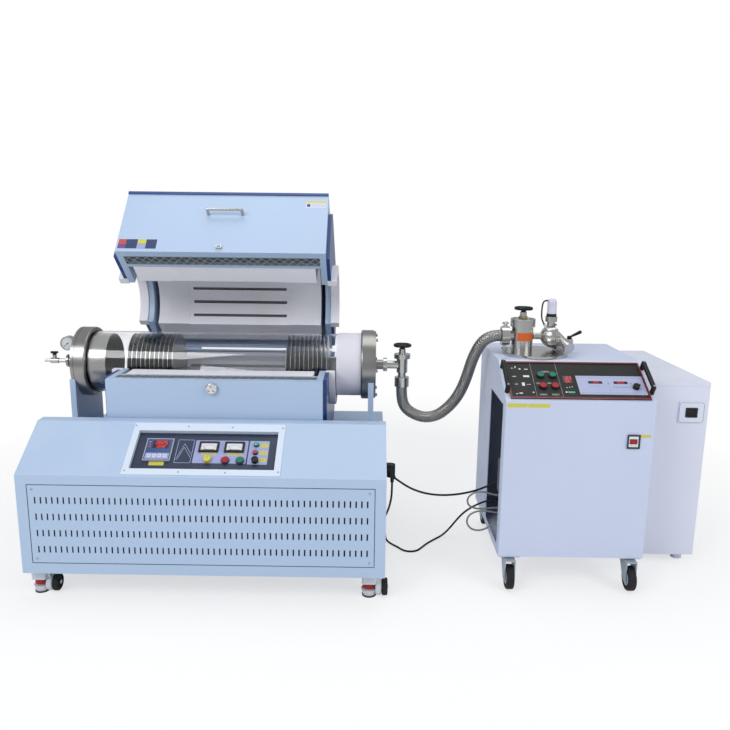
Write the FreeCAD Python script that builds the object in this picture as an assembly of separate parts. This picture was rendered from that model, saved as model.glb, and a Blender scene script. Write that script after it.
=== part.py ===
import FreeCAD, Part
import math
import os

V = FreeCAD.Vector
X_AXIS = V(1, 0, 0)
Y_AXIS = V(0, 1, 0)
Z_AXIS = V(0, 0, 1)

# Millimetres, +Z up, +X to the operator's right, +Y away from the operator.
# While it is modelled, X = 0 is the middle of the heated chamber, Y = 0 is the
# front of the cabinet and Z = 0 is the floor.

# Clearances
RUN_GAP = 0.06          # radial gap of a shaft in its bore
SEAT_GAP = 0.3          # gap between pieces that lie against each other
PARTING_GAP = 1.0       # gap between the closed lid and the lower chamber
WHEEL_LIFT = 1.5        # wheels hang this far above the floor
SHEET = 3.0             # sheet metal of cabinets and casings

# Furnace cabinet
CAB_WIDTH = 1270.0
CAB_DEPTH = 945.0
CAB_BASE_Z = 104.0
CAB_FRONT_TOP_Z = 467.0
CONSOLE_TOP_Z = 603.0
CONSOLE_RUN = 199.0
CONSOLE_LIP = 48.0
DECK_Z = 450.0

# Front vent panel
VENT_WIDTH = 1192.0
VENT_HEIGHT = 288.0
VENT_Z = 288.5
VENT_FRAME = 14.0
SLOT_COLUMNS = 59
SLOT_ROWS = 4
SLOT_WIDTH = 5.5
SLOT_HEIGHT = 24.5
SLOT_PITCH_X = 19.7
SLOT_PITCH_Z = 60.3
SLOT_DROP = 3.0

# Rear cover of the cabinet
REAR_WIDTH = 1000.0
REAR_HEIGHT = 260.0
REAR_Z = 277.0
REAR_OVERLAP = 15.0
REAR_SLOTS = 9
REAR_SLOT_LENGTH = 120.0
REAR_SLOT_WIDTH = 8.0
REAR_SLOT_PITCH = 24.0

# Control panel, in the plane of the console slope: X and the distance up it
PANEL_X = -1.5
PANEL_UP = 115.5
PANEL_WIDTH = 512.0
PANEL_HEIGHT = 179.0
PANEL_DEPTH = 12.0
PLATE = 3.0
BEZEL_MARGIN_X = 17.0
BEZEL_LOW_MARGIN = 19.0
BEZEL_HIGH_MARGIN = 29.0
BEZEL_SKIRT = 6.0
PLATE_MARGIN = 6.0
CONTROLLER_X = -169.0
CONTROLLER_UP = 121.5
CONTROLLER_SIZE = 96.0
CONTROLLER_BODY = 90.0
CONTROLLER_DEPTH = 80.0
CONTROLLER_PROUD = 7.0
METER_X = (6.5, 97.0)
METER_UP = 137.0
METER_WIDTH = 70.0
METER_HEIGHT = 45.0
METER_FRAME = 6.5
METER_PROUD = 8.0
METER_BODY_DEPTH = 30.0
LAMP_X = 173.0
LAMP_UP = (149.0, 114.0)
LAMP_RADIUS = 9.0
LAMP_BODY_RADIUS = 7.0
CONTROL_ROW_UP = 79.0
YELLOW_KNOB_X = 10.0
RED_BUTTON_X = 72.0
GREEN_BUTTON_X = 124.0
BLACK_KNOB_X = 176.0
KNOB_RADIUS = 12.0
KNOB_HEIGHT = 15.0
KNOB_STEM_RADIUS = 3.0
BUTTON_RADIUS = 12.0
BUTTON_HEIGHT = 7.0
BUTTON_TRAVEL = 2.5
BUTTON_STEM_RADIUS = 5.0
BUTTON_COLLAR = 2.5

# Split furnace body
BODY_WIDTH = 800.0
BODY_DEPTH = 670.0
BODY_FRONT_Y = 252.0
PARTING_Z = 748.0
LID_HEIGHT = 300.0
LID_OPEN = 42.0
HINGE_BACK = 12.0
RIM_FRONT = 29.0
RIM_THICK = 3.0
END_WALL = 24.0
CASING_HALF_DEPTH = 256.0
CASING_WALL = 14.0
CASING_HEIGHT = 60.0
BLOCK_HALF_DEPTH = 241.7
BLOCK_END_GAP = 20.0
BORE_RADIUS = 152.0
END_BORE_RADIUS = 140.0
HEATER_STEP = 3.0
HEATER_HALF_LENGTH = 224.0
ELEMENT_ANGLES = (-73.5, -51.5, -29.5, -7.5, 7.5, 29.5, 51.5, 73.5)
ELEMENT_HALF_LENGTH = 205.0
ELEMENT_SLOT_WIDTH = 12.0
ELEMENT_SLOT_DEPTH = 12.0
ELEMENT_RADIUS = 4.0
COLLAR_RADIUS = 165.0
COLLAR_BORE_RADIUS = 133.0
COLLAR_REACH = 36.0
END_PANEL = 14.0
END_PANEL_INSET = 32.0
END_PANEL_CHAMFER = 60.0
END_PANEL_BORE_RADIUS = 166.0
TOP_COVER = 4.0
TOP_COVER_NOSE = 5.0
TOP_COVER_LIP = 12.0
LID_HANDLE_LENGTH = 146.0
LID_HANDLE_UP = 190.0
LID_HANDLE_REACH = 30.0
LID_HANDLE_RADIUS = 6.0
LATCH_X = -7.0
LATCH_DROP = 29.5
LATCH_RADIUS = 21.0
LATCH_DEPTH = 14.0
LATCH_STEM_RADIUS = 5.0
CAM_MARGIN = 3.0
CATCH_UP = 24.0
CATCH_HALF_WIDTH = 11.0
CATCH_HALF_HEIGHT = 7.0
CATCH_DEPTH = 8.0
CATCH_WALL = 4.0
KNUCKLE_RADIUS = 9.0
PIN_RADIUS = 5.0
HINGE_X = 250.0
KNUCKLE_LENGTH = 30.0

# Work tube and its end flanges
TUBE_RADIUS = 125.0
TUBE_WALL = 5.0
TUBE_LEFT_X = -590.0
TUBE_RIGHT_X = 584.0
WRAP_START = 40.0
WRAP_WALL = 3.0
FLANGE_RADIUS = 141.5
LEFT_RING_X = -611.0
LEFT_RING_WIDTH = 59.0
RIGHT_RING_X = 537.0
RIGHT_RING_WIDTH = 51.0
FLANGE_PLATE = 12.0
COVER_DISC = 9.0
COVER_DISC_RADIUS = 138.0
FLANGE_GROOVE = 2.0
FLANGE_EDGE = 7.0
SEAL_RECESS = 6.0
FLANGE_BOLTS = 6
BOLT_INSET = 12.0
BOLT_RADIUS = 6.5
BOLT_HEIGHT = 7.0
SLEEVE_RADIUS = 116.0
SLEEVE_WALL = 3.0
SLEEVE_END_X = -480.0
SHIELD_RADIUS = 117.0
SHIELD_THICK = 2.0
LEFT_SHIELD_X = -392.0
LEFT_SHIELDS = 11
RIGHT_SHIELD_X = 239.0
RIGHT_SHIELDS = 10
SHIELD_PITCH = 17.8
SHIELD_ROD_RADIUS = 4.0
SHIELD_ROD_DROP = 60.0
SHIELD_FOOT = 4.0

# Supports under the flanges
SUPPORT_DEPTH = 270.0
SUPPORT_TOP_Z = 700.0
SUPPORT_PLATE = 4.0
SUPPORT_RETURN = 18.0
LEFT_SUPPORT_X = -600.0
RIGHT_SUPPORT_X = 567.0
SUPPORT_FOOT = 40.0

# Left end: gas inlet and gauge
LEFT_NIPPLE_RADIUS = 19.0
LEFT_NIPPLE_LENGTH = 57.0
PORT_DISC_RADIUS = 26.0
PORT_DISC = 9.0
GAUGE_RISE = 74.0
GAUGE_RADIUS = 29.0
GAUGE_DEPTH = 30.0
GAUGE_X = -669.0
GAUGE_RIM = 3.0
GAUGE_STEM_RADIUS = 6.0
GAUGE_BOSS = 8.0
INLET_RADIUS = 6.0
INLET_LENGTH = 25.0
GAS_BODY_RADIUS = 11.5
GAS_BODY_LENGTH = 32.0
GAS_NECK_LENGTH = 38.0
GAS_NECK_RADIUS = 8.0
BONNET_HEIGHT = 24.0
GAS_LEVER_LENGTH = 28.0

# Right end: angle valve
KF_PIPE_RADIUS = 20.0
RIGHT_NIPPLE_LENGTH = 31.0
CLAMP_RADIUS = 28.0
CLAMP_WIDTH = 16.0
ANGLE_X = 706.0
ANGLE_BODY_RADIUS = 22.5
ANGLE_TOP_Z = 794.0
ANGLE_CAP_RADIUS = 33.5
ANGLE_CAP_HEIGHT = 18.0
ANGLE_NECK_RADIUS = 16.5
ANGLE_NECK = 20.0
ANGLE_BONNET_RADIUS = 14.0
ANGLE_BONNET_TOP_Z = 815.0
LOWER_CLAMP_TOP_Z = 697.0
LOWER_CLAMP_WIDTH = 39.0
LOWER_CLAMP_RADIUS = 30.0
WHEEL_STEM_RADIUS = 4.0
ANGLE_WHEEL_RADIUS = 37.0
HANDWHEEL_HEIGHT = 20.0
HANDWHEEL_RIM = 11.0
HANDWHEEL_DISH = 5.0
HANDWHEEL_HUB_RADIUS = 10.0
HANDWHEEL_BEVEL = 3.0
HANDWHEEL_BAND = 8.0
HANDWHEEL_GRIPS = 8
GRIP_RADIUS = 5.0

# Pump cart
CART_X = 1052.0
CART_WIDTH = 532.0
CART_FRONT_Y = 136.0
CART_DEPTH = 570.0
CART_EDGE = 5.0
CART_BASE_Z = 125.0
CART_SHOULDER_Z = 715.0
CART_TOP_Z = 826.0
CART_SLOPE_RUN = 184.5
CART_DOOR_FRONT_Y = 180.0
CART_DOOR_DEPTH = 260.0
CART_DOOR_Z = 150.0
CART_DOOR_HEIGHT = 540.0
RACK_WIDTH = 482.6
RACK_HEIGHT = 177.8
RACK_UP = 16.0
RACK_TRIM = 6.0
RACK_TRIM_PROUD = 2.0
RACK_PLATE = 4.0
RACK_BODY_WIDTH = 430.0
RACK_BODY_HEIGHT = 160.0
RACK_BODY_DEPTH = 60.0
CART_HANDLE_IN = 9.5
CART_HANDLE_UP = 45.0
CART_HANDLE_SPAN = 128.0
CART_HANDLE_REACH = 30.0
CART_HANDLE_RADIUS = 8.5
CART_BUTTON_X = (141.0, 184.5)
CART_BUTTON_UP = (126.5, 70.0)
CART_KNOB_X = 472.0
CART_KNOB_UP = 67.0
BREAKER_X = 458.0
BREAKER_Z = 572.0
BREAKER_WIDTH = 46.0
BREAKER_HEIGHT = 48.0
BREAKER_FRAME = 4.0
ROCKER_WIDTH = 24.0
ROCKER_HEIGHT = 16.0
ROCKER_GAP = 1.5
ROCKER_PROUD = 1.0
ROCKER_BODY_DEPTH = 24.0
ROCKER_PIVOT_DEPTH = 8.0
ROCKER_PIN_RADIUS = 2.0
ROCKER_WALL = 5.0

# Casters of the cart
CASTER_WHEEL_RADIUS = 45.0
CASTER_WHEEL_WIDTH = 28.0
CASTER_INSET = 44.0
TREAD_CROWN = 6.0
DISH_DEPTH = 3.0
DISH_RIM = 10.0
HUB_WALL = 6.0
CASTER_TRAIL = 45.0
CASTER_PLATE = 6.0
FORK_DISC = 8.0
FORK_DISC_RADIUS = 30.0
FORK_LEG = 4.0
FORK_GAP = 2.0
AXLE_RADIUS = 5.0
SWIVEL_PIN_RADIUS = 7.0

# Valves on top of the cart
VALVE_X = 1171.0
VALVE_Y = 480.0
VALVE_PLATE_X = 1215.0
VALVE_PLATE_Y = 445.0
VALVE_PLATE_RADIUS = 125.0
VALVE_PLATE = 12.0
VALVE_RADIUS = 41.5
VALVE_TOP_Z = 930.0
VALVE_CAP_RADIUS = 48.0
VALVE_CAP_HEIGHT = 31.0
VALVE_PORT_Z = 892.0
VALVE_CAP_GROOVE = 3.0
VALVE_CAP_STEP = 16.0
VALVE_BONNET_RADIUS = 13.0
VALVE_BONNET_HEIGHT = 25.0
MAIN_WHEEL_RADIUS = 36.0
PORT_CLAMP_RADIUS = 37.0
PORT_CLAMP_WIDTH = 31.0
CROSS_RADIUS = 13.0
BELL_X = 1244.0
BELL_WIDTH = 47.0
BELL_RADIUS = 46.0
BELL_BEND_X = 17.0
BELL_BEND_RADIUS = 36.0
BELL_COLLAR = 9.0
BELL_COLLAR_RADIUS = 51.0
STAND_WIDTH = 34.0
STAND_DEPTH = 60.0
STAND_TOP_Z = 886.0
SIDE_PIPE_START = (1302.0, 480.0, 900.0)
SIDE_PIPE_END = (1327.0, 385.0, 866.0)
SIDE_PIPE_RADIUS = 16.5
SIDE_CAP_RADIUS = 21.0
SIDE_CAP = 12.0
LEVER_X = 1357.0
LEVER_BOSS_RADIUS = 12.0
LEVER_BOSS_Z = 872.0
LEVER_HUB_RADIUS = 9.0
LEVER_LENGTH = 52.0
LEVER_RADIUS = 7.0
LEVER_RISE = 27.0
GAUGE_HEAD_X = 1281.0
GAUGE_SEAT_Z = 950.0
GAUGE_NECK_RADIUS = 15.5
GAUGE_NUT_RADIUS = 23.0
GAUGE_NUT_HEIGHT = 20.0
GAUGE_HEAD_RADIUS = 17.5
GAUGE_HEAD_HEIGHT = 68.0
GAUGE_DOME = 14.0
LEAD_GLAND_RADIUS = 5.0

# Chiller
CHILLER_X = 1600.0
CHILLER_WIDTH = 276.0
CHILLER_FRONT_Y = 365.0
CHILLER_DEPTH = 680.0
CHILLER_BASE_Z = 31.0
CHILLER_TOP_Z = 738.0
CHILLER_SEAM = 3.0
CHILLER_COVER = 14.0
CHILLER_FOOT_RADIUS = 20.0
CHILLER_FOOT_INSET = 45.0
SWITCH_X = 211.0
SWITCH_Z = 620.0
SWITCH_WIDTH = 98.0
SWITCH_HEIGHT = 82.0
SWITCH_ROCKER_WIDTH = 40.0
SWITCH_ROCKER_HEIGHT = 32.0

# Levelling casters of the furnace
LEVELLER_X = (-606.0, 580.0)
LEVELLER_FRONT_Y = 75.0
LEVELLER_BACK = 75.0
LEVELLER_WIDTH = 52.0
LEVELLER_DEPTH = 60.0
LEVELLER_BLOCK_Z = 54.0
LEVELLER_PLATE = 20.0
PAD_RADIUS = 25.0
PAD_HEIGHT = 6.0
BOWL_LOW_RADIUS = 23.0
BOWL_RADIUS = 28.5
BOWL_TOP_Z = 27.0
DIAL_RADIUS = 21.5
DIAL_LOW_Z = 29.5
DIAL_HEIGHT = 22.0
SCREW_RADIUS = 10.0
CHEEK_START = 22.0
CHEEK_END = 45.0
CHEEK_RADIUS = 29.0
CHEEK_EDGE = 8.0
FURNACE_WHEEL_RADIUS = 31.0
FURNACE_WHEEL_WIDTH = 21.0

# Round sections of what lies free between the units
HOSE_RADIUS = 23.5
CABLE_RADIUS = 4.0
LOOP_RADIUS = 3.5
LEAD_RADIUS = 3.0

# Routes, chosen by hand
HOSE_ROUTE = [
    (706, 587, 658), (706, 587, 612), (719, 582, 569), (756, 574, 542), (806, 565, 529),
    (857, 556, 543), (897, 548, 579), (930, 540, 622), (954, 531, 676), (970, 522, 732),
    (982, 512, 784), (1000, 501, 834), (1022, 488, 872), (1058, 480, 892), (1088, 480, 892),
]
LEAD_ROUTE = [
    (1261, 480, 1032), (1253, 480, 1032), (1246, 480, 1025), (1243, 480, 1011), (1242, 480, 991),
    (1242.5, 480, 970), (1246.5, 480, 952), (1254, 480, 940),
]
SIGNAL_ROUTE = [
    (674, 300, 362), (702, 301, 341), (744, 304, 315), (798, 309, 296), (857, 315, 288),
    (916, 323, 289), (972, 331, 297), (1022, 339, 311), (1066, 345, 330),
]
POWER_ROUTE = [
    (664, 300, 346), (664, 300, 314), (663, 313, 276), (658, 338, 236), (652, 372, 198),
    (647, 412, 166), (645, 458, 138), (644, 506, 114), (644, 548, 95), (644, 561, 70),
    (645, 560, 42), (647, 546, 18), (650, 521, 5), (661, 493, 4.5), (679, 468, 5),
    (700, 446, 4.5), (719, 418, 4.5), (748, 408, 4.5), (777, 418, 4.5), (796, 446, 4.5),
    (822, 486, 5), (856, 526, 4.5), (893, 557, 9), (925, 570, 36), (950, 558, 78),
    (973, 528, 124), (1001, 487, 168), (1032, 444, 206), (1064, 409, 234), (1090, 392, 246),
]
UPPER_LOOP_ROUTE = [
    (1090, 322, 290), (1060, 322, 290), (1024, 321, 303), (984, 320, 301), (958, 320, 276),
    (962, 320, 247), (990, 321, 233), (1030, 322, 232), (1074, 322, 238), (1120, 322, 238),
]
LOWER_LOOP_ROUTE = [
    (1120, 306, 222), (1078, 306, 222), (1036, 306, 230), (992, 306, 228), (964, 306, 211),
    (956, 306, 182), (972, 306, 156), (1002, 306, 147), (1034, 306, 156), (1060, 306, 178),
    (1090, 306, 188), (1120, 306, 188),
]


def box(x0, x1, y0, y1, z0, z1):
    return Part.makeBox(x1 - x0, y1 - y0, z1 - z0, V(x0, y0, z0))


def rod(start, axis, radius, length):
    return Part.makeCylinder(radius, length, V(*start), axis)


def tube(start, axis, radius, bore, length):
    outer = rod(start, axis, radius, length)
    return outer.cut(rod(start, axis, bore, length))


def join(first, *others):
    return first.multiFuse(list(others)).removeSplitter()


def remove(shape, *tools):
    return shape.cut(Part.makeCompound(list(tools)))


def group(*solids):
    return Part.makeCompound(list(solids))


def polygon_x(points, x0, x1):
    corners = [V(x0, y, z) for y, z in points]
    face = Part.Face(Part.makePolygon(corners + corners[:1]))
    return face.extrude(V(x1 - x0, 0, 0))


def inset_polygon(points, inset):
    corners = [V(y, z, 0) for y, z in points]
    wire = Part.makePolygon(corners + corners[:1])
    smaller = wire.makeOffset2D(-inset, 2)
    return [(vertex.Point.x, vertex.Point.y) for vertex in smaller.OrderedVertexes]


def rounded(shape, radius, chosen):
    return shape.makeFillet(radius, [edge for edge in shape.Edges if chosen(shape, edge)])


def top_edges(shape, edge):
    return min(vertex.Z for vertex in edge.Vertexes) > shape.BoundBox.ZMax - 0.01


def upright_edges(shape, edge):
    return edge.BoundBox.ZLength > 1.0


def turned(shape, origin, axis, degrees):
    shape = shape.copy()
    shape.rotate(V(*origin), axis, degrees)
    return shape


def moved(shape, dx=0.0, dy=0.0, dz=0.0):
    shape = shape.copy()
    shape.translate(V(dx, dy, dz))
    return shape


# The console slope: a local frame with X across, Y up the slope, Z out of it

CONSOLE_DEGREES = math.degrees(math.atan2(CONSOLE_TOP_Z - CAB_FRONT_TOP_Z, CONSOLE_RUN))


def on_console(shape):
    return moved(turned(shape, (0, 0, 0), X_AXIS, CONSOLE_DEGREES), dz=CAB_FRONT_TOP_Z)


CART_DEGREES = math.degrees(math.atan2(CART_TOP_Z - CART_SHOULDER_Z, CART_SLOPE_RUN))


def on_cart_slope(shape):
    lifted = turned(shape, (0, 0, 0), X_AXIS, CART_DEGREES)
    return moved(lifted, CART_X, CART_FRONT_Y, CART_SHOULDER_Z)


# Free hoses and cables: straight runs joined by tangent arcs

def corner_radius(before, corner, after):
    first = (before - corner).normalize()
    second = (after - corner).normalize()
    turn = math.pi - math.acos(max(-1.0, min(1.0, first.dot(second))))
    run = min((before - corner).Length, (after - corner).Length)
    return 0.45 * run / math.tan(turn / 2)


def route_wire(points):
    corners = [V(*point) for point in points]
    edges = []
    start = corners[0]
    for before, corner, after in zip(corners, corners[1:], corners[2:]):
        first = (before - corner).normalize()
        second = (after - corner).normalize()
        reach = 0.45 * min((before - corner).Length, (after - corner).Length)
        radius = corner_radius(before, corner, after)
        entry = corner + first * reach
        leave = corner + second * reach
        bisector = (first + second).normalize()
        middle = corner + bisector * (math.hypot(radius, reach) - radius)
        edges.append(Part.LineSegment(start, entry).toShape())
        edges.append(Part.Arc(entry, middle, leave).toShape())
        start = leave
    edges.append(Part.LineSegment(start, corners[-1]).toShape())
    return Part.Wire(edges)


def swept_round(points, radius):
    path = route_wire(points)
    direction = V(*points[1]) - V(*points[0])
    circle = Part.Wire(Part.Circle(V(*points[0]), direction, radius).toShape())
    return path.makePipeShell([circle], True, False, 2)


def free_cord(name, points, radius):
    path = route_wire(points)
    solid = swept_round(points, radius)
    corners = [V(*point) for point in points]
    radii = [round(corner_radius(a, b, c), 1) for a, b, c in zip(corners, corners[1:], corners[2:])]
    print(name, "radii", radii)
    print(name, "length", round(path.Length, 1), "volume ratio",
          round(solid.Volume / (math.pi * radius ** 2 * path.Length), 4))
    return solid


# Cabinet under the furnace

CONSOLE_BACK_Y = CONSOLE_RUN + CONSOLE_LIP
CONNECTOR_Y = 300.0
CONNECTOR_Z = 404.0
CONNECTOR_RADIUS = 19.0


def cabinet_profile():
    return [
        (0, CAB_BASE_Z), (0, CAB_FRONT_TOP_Z), (CONSOLE_RUN, CONSOLE_TOP_Z),
        (CONSOLE_BACK_Y, CONSOLE_TOP_Z), (CONSOLE_BACK_Y, DECK_Z),
        (CAB_DEPTH, DECK_Z), (CAB_DEPTH, CAB_BASE_Z),
    ]


def centred_window(width, height, z, y0, y1):
    return box(-width / 2, width / 2, y0, y1, z - height / 2, z + height / 2)


def panel_block(width, height, low, high):
    x0 = PANEL_X - width / 2
    y0 = PANEL_UP - height / 2
    return box(x0, x0 + width, y0, y0 + height, low, high)


def base_cabinet():
    profile = cabinet_profile()
    half = CAB_WIDTH / 2
    shell = polygon_x(profile, -half, half)
    shell = shell.cut(polygon_x(inset_polygon(profile, SHEET), -half + SHEET, half - SHEET))
    frame = centred_window(VENT_WIDTH, VENT_HEIGHT, VENT_Z, SHEET, 2 * SHEET)
    inner_width = VENT_WIDTH - 2 * VENT_FRAME
    inner_height = VENT_HEIGHT - 2 * VENT_FRAME
    outer_frame = centred_window(VENT_WIDTH + 2 * VENT_FRAME, VENT_HEIGHT + VENT_FRAME, VENT_Z,
                                 SHEET, 2 * SHEET)
    shell = shell.fuse(outer_frame.fuse(frame))
    front = centred_window(VENT_WIDTH + 2 * SEAT_GAP, VENT_HEIGHT + 2 * SEAT_GAP, VENT_Z, -1, SHEET)
    opening = centred_window(inner_width, inner_height, VENT_Z, -1, 3 * SHEET)
    rear = centred_window(REAR_WIDTH, REAR_HEIGHT, REAR_Z, CAB_DEPTH - 2 * SHEET, CAB_DEPTH + 1)
    console = on_console(panel_block(PANEL_WIDTH, PANEL_HEIGHT, -2 * SHEET, 1))
    return remove(shell, front, opening, rear, console).removeSplitter()


def vent_panel():
    panel = centred_window(VENT_WIDTH, VENT_HEIGHT, VENT_Z, 0, SHEET)
    slots = []
    for row in range(SLOT_ROWS):
        z = VENT_Z - SLOT_DROP + (row - (SLOT_ROWS - 1) / 2) * SLOT_PITCH_Z
        for column in range(SLOT_COLUMNS):
            x = (column - (SLOT_COLUMNS - 1) / 2) * SLOT_PITCH_X
            slots.append(box(x - SLOT_WIDTH / 2, x + SLOT_WIDTH / 2, -1, SHEET + 1,
                             z - SLOT_HEIGHT / 2, z + SLOT_HEIGHT / 2))
    return panel.cut(Part.makeCompound(slots))


def rear_cover():
    cover = centred_window(REAR_WIDTH + 2 * REAR_OVERLAP, REAR_HEIGHT + 2 * REAR_OVERLAP, REAR_Z,
                           CAB_DEPTH, CAB_DEPTH + SHEET)
    slots = []
    for side in (-1, 1):
        for index in range(REAR_SLOTS):
            z = REAR_Z + (index - (REAR_SLOTS - 1) / 2) * REAR_SLOT_PITCH
            x = side * REAR_WIDTH / 4
            slots.append(box(x - REAR_SLOT_LENGTH / 2, x + REAR_SLOT_LENGTH / 2,
                             CAB_DEPTH - 1, CAB_DEPTH + SHEET + 1,
                             z - REAR_SLOT_WIDTH / 2, z + REAR_SLOT_WIDTH / 2))
    return cover.cut(Part.makeCompound(slots))


TRANSFORMER_WIDTH = 260.0
TRANSFORMER_DEPTH = 180.0
TRANSFORMER_HEIGHT = 200.0
TRANSFORMER_X = 330.0
TRANSFORMER_Y = 560.0
CORE_LIMB = 40.0


def power_transformer():
    floor = CAB_BASE_Z + SHEET
    x0 = TRANSFORMER_X - TRANSFORMER_WIDTH / 2
    x1 = TRANSFORMER_X + TRANSFORMER_WIDTH / 2
    inner = TRANSFORMER_DEPTH / 4
    core = box(x0, x1, TRANSFORMER_Y - inner, TRANSFORMER_Y + inner, floor, floor + TRANSFORMER_HEIGHT)
    window = box(x0 + CORE_LIMB, x1 - CORE_LIMB, TRANSFORMER_Y - inner, TRANSFORMER_Y + inner,
                 floor + CORE_LIMB, floor + TRANSFORMER_HEIGHT - CORE_LIMB)
    limb = box(TRANSFORMER_X - CORE_LIMB / 2, TRANSFORMER_X + CORE_LIMB / 2,
               TRANSFORMER_Y - inner, TRANSFORMER_Y + inner, floor, floor + TRANSFORMER_HEIGHT)
    winding = box(x0 + 1.5 * CORE_LIMB, x1 - 1.5 * CORE_LIMB,
                  TRANSFORMER_Y - TRANSFORMER_DEPTH / 2, TRANSFORMER_Y + TRANSFORMER_DEPTH / 2,
                  floor + CORE_LIMB + SHEET, floor + TRANSFORMER_HEIGHT - CORE_LIMB - SHEET)
    return join(core.cut(window), limb, winding)


# Control panel on the console

PANEL_FACE = -PANEL_DEPTH


def control_bezel():
    low = PANEL_UP - PANEL_HEIGHT / 2
    high = PANEL_UP + PANEL_HEIGHT / 2
    half = PANEL_WIDTH / 2
    outer = box(PANEL_X - half - BEZEL_MARGIN_X, PANEL_X + half + BEZEL_MARGIN_X,
                low - BEZEL_LOW_MARGIN, high + BEZEL_HIGH_MARGIN, 0, PLATE)
    skirt = panel_block(PANEL_WIDTH - 2 * SEAT_GAP, PANEL_HEIGHT - 2 * SEAT_GAP, PANEL_FACE, 0)
    inner = panel_block(PANEL_WIDTH - 2 * BEZEL_SKIRT, PANEL_HEIGHT - 2 * BEZEL_SKIRT,
                        PANEL_FACE - 1, PLATE + 1)
    return on_console(join(rounded(outer, PLATE / 2, top_edges), skirt).cut(inner))


def square_hole(x, up, width, height):
    return box(x - width / 2, x + width / 2, up - height / 2, up + height / 2,
               PANEL_FACE - 2 * PLATE, PANEL_FACE + PLATE)


def round_hole(x, up, radius):
    return rod((x, up, PANEL_FACE - 2 * PLATE), Z_AXIS, radius, 3 * PLATE)


def control_plate():
    plate = panel_block(PANEL_WIDTH + 2 * PLATE_MARGIN, PANEL_HEIGHT + 2 * PLATE_MARGIN,
                        PANEL_FACE - PLATE, PANEL_FACE)
    collars = [tube((x, CONTROL_ROW_UP, PANEL_FACE - PLATE / 2), Z_AXIS,
                    BUTTON_RADIUS + SEAT_GAP + BUTTON_COLLAR, BUTTON_RADIUS + SEAT_GAP,
                    PLATE / 2 + BUTTON_HEIGHT)
               for x in (RED_BUTTON_X, GREEN_BUTTON_X)]
    plate = join(plate, *collars)
    body = CONTROLLER_BODY + 2 * SEAT_GAP
    holes = [square_hole(CONTROLLER_X, CONTROLLER_UP, body, body)]
    for x in METER_X:
        holes.append(square_hole(x, METER_UP, METER_WIDTH - 2 * METER_FRAME + 2 * SEAT_GAP,
                                 METER_HEIGHT - 2 * METER_FRAME + 2 * SEAT_GAP))
    for up in LAMP_UP:
        holes.append(round_hole(LAMP_X, up, LAMP_BODY_RADIUS + SEAT_GAP))
    for x in (YELLOW_KNOB_X, BLACK_KNOB_X):
        holes.append(round_hole(x, CONTROL_ROW_UP, KNOB_STEM_RADIUS + RUN_GAP))
    for x in (RED_BUTTON_X, GREEN_BUTTON_X):
        holes.append(round_hole(x, CONTROL_ROW_UP, BUTTON_STEM_RADIUS + RUN_GAP))
    return on_console(remove(plate, *holes))


def temperature_controller():
    half = CONTROLLER_SIZE / 2
    inner = CONTROLLER_BODY / 2
    front = box(CONTROLLER_X - half, CONTROLLER_X + half, CONTROLLER_UP - half, CONTROLLER_UP + half,
                PANEL_FACE, PANEL_FACE + CONTROLLER_PROUD)
    face = box(CONTROLLER_X - inner, CONTROLLER_X + inner, CONTROLLER_UP - inner, CONTROLLER_UP + inner,
               PANEL_FACE + CONTROLLER_PROUD - 1.5, PANEL_FACE + CONTROLLER_PROUD + 1)
    body = box(CONTROLLER_X - inner, CONTROLLER_X + inner, CONTROLLER_UP - inner, CONTROLLER_UP + inner,
               PANEL_FACE - CONTROLLER_DEPTH, PANEL_FACE)
    return on_console(join(front.cut(face), body))


def panel_meter(x):
    half_w = METER_WIDTH / 2
    half_h = METER_HEIGHT / 2
    inner_w = half_w - METER_FRAME
    inner_h = half_h - METER_FRAME
    front = box(x - half_w, x + half_w, METER_UP - half_h, METER_UP + half_h,
                PANEL_FACE, PANEL_FACE + METER_PROUD)
    face = box(x - inner_w, x + inner_w, METER_UP - inner_h, METER_UP + inner_h,
               PANEL_FACE + METER_PROUD / 2, PANEL_FACE + METER_PROUD + 1)
    body = box(x - inner_w, x + inner_w, METER_UP - inner_h, METER_UP + inner_h,
               PANEL_FACE - METER_BODY_DEPTH, PANEL_FACE)
    return join(rounded(front, METER_PROUD / 4, top_edges).cut(face), body)


def panel_lamp(up):
    lens = rod((LAMP_X, up, PANEL_FACE), Z_AXIS, LAMP_RADIUS, METER_PROUD)
    body = rod((LAMP_X, up, PANEL_FACE - METER_BODY_DEPTH), Z_AXIS, LAMP_BODY_RADIUS, METER_BODY_DEPTH)
    return join(lens, body)


def panel_indicators():
    meters = [panel_meter(x) for x in METER_X]
    lamps = [panel_lamp(up) for up in LAMP_UP]
    return on_console(group(*meters, *lamps))


def knob(x, up, face):
    grip = rod((x, up, face + SEAT_GAP), Z_AXIS, KNOB_RADIUS, KNOB_HEIGHT)
    pointer = box(x - 1.2, x + 1.2, up, up + KNOB_RADIUS + 1, face + KNOB_HEIGHT - 2, face + KNOB_HEIGHT + 2)
    stem = rod((x, up, face - 4 * PLATE), Z_AXIS, KNOB_STEM_RADIUS, 4 * PLATE + SEAT_GAP)
    return join(grip.cut(pointer), stem)


def push_button(x, up, face, plate):
    rest = face + BUTTON_TRAVEL + SEAT_GAP
    cap = rod((x, up, rest), Z_AXIS, BUTTON_RADIUS, BUTTON_HEIGHT)
    low = face - plate - SEAT_GAP
    stem = rod((x, up, low), Z_AXIS, BUTTON_STEM_RADIUS, rest - low)
    stop = rod((x, up, low - PLATE), Z_AXIS, BUTTON_STEM_RADIUS + 2, PLATE)
    return join(cap, stem, stop)


# Split furnace body; each half is modelled as the lower one

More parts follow.
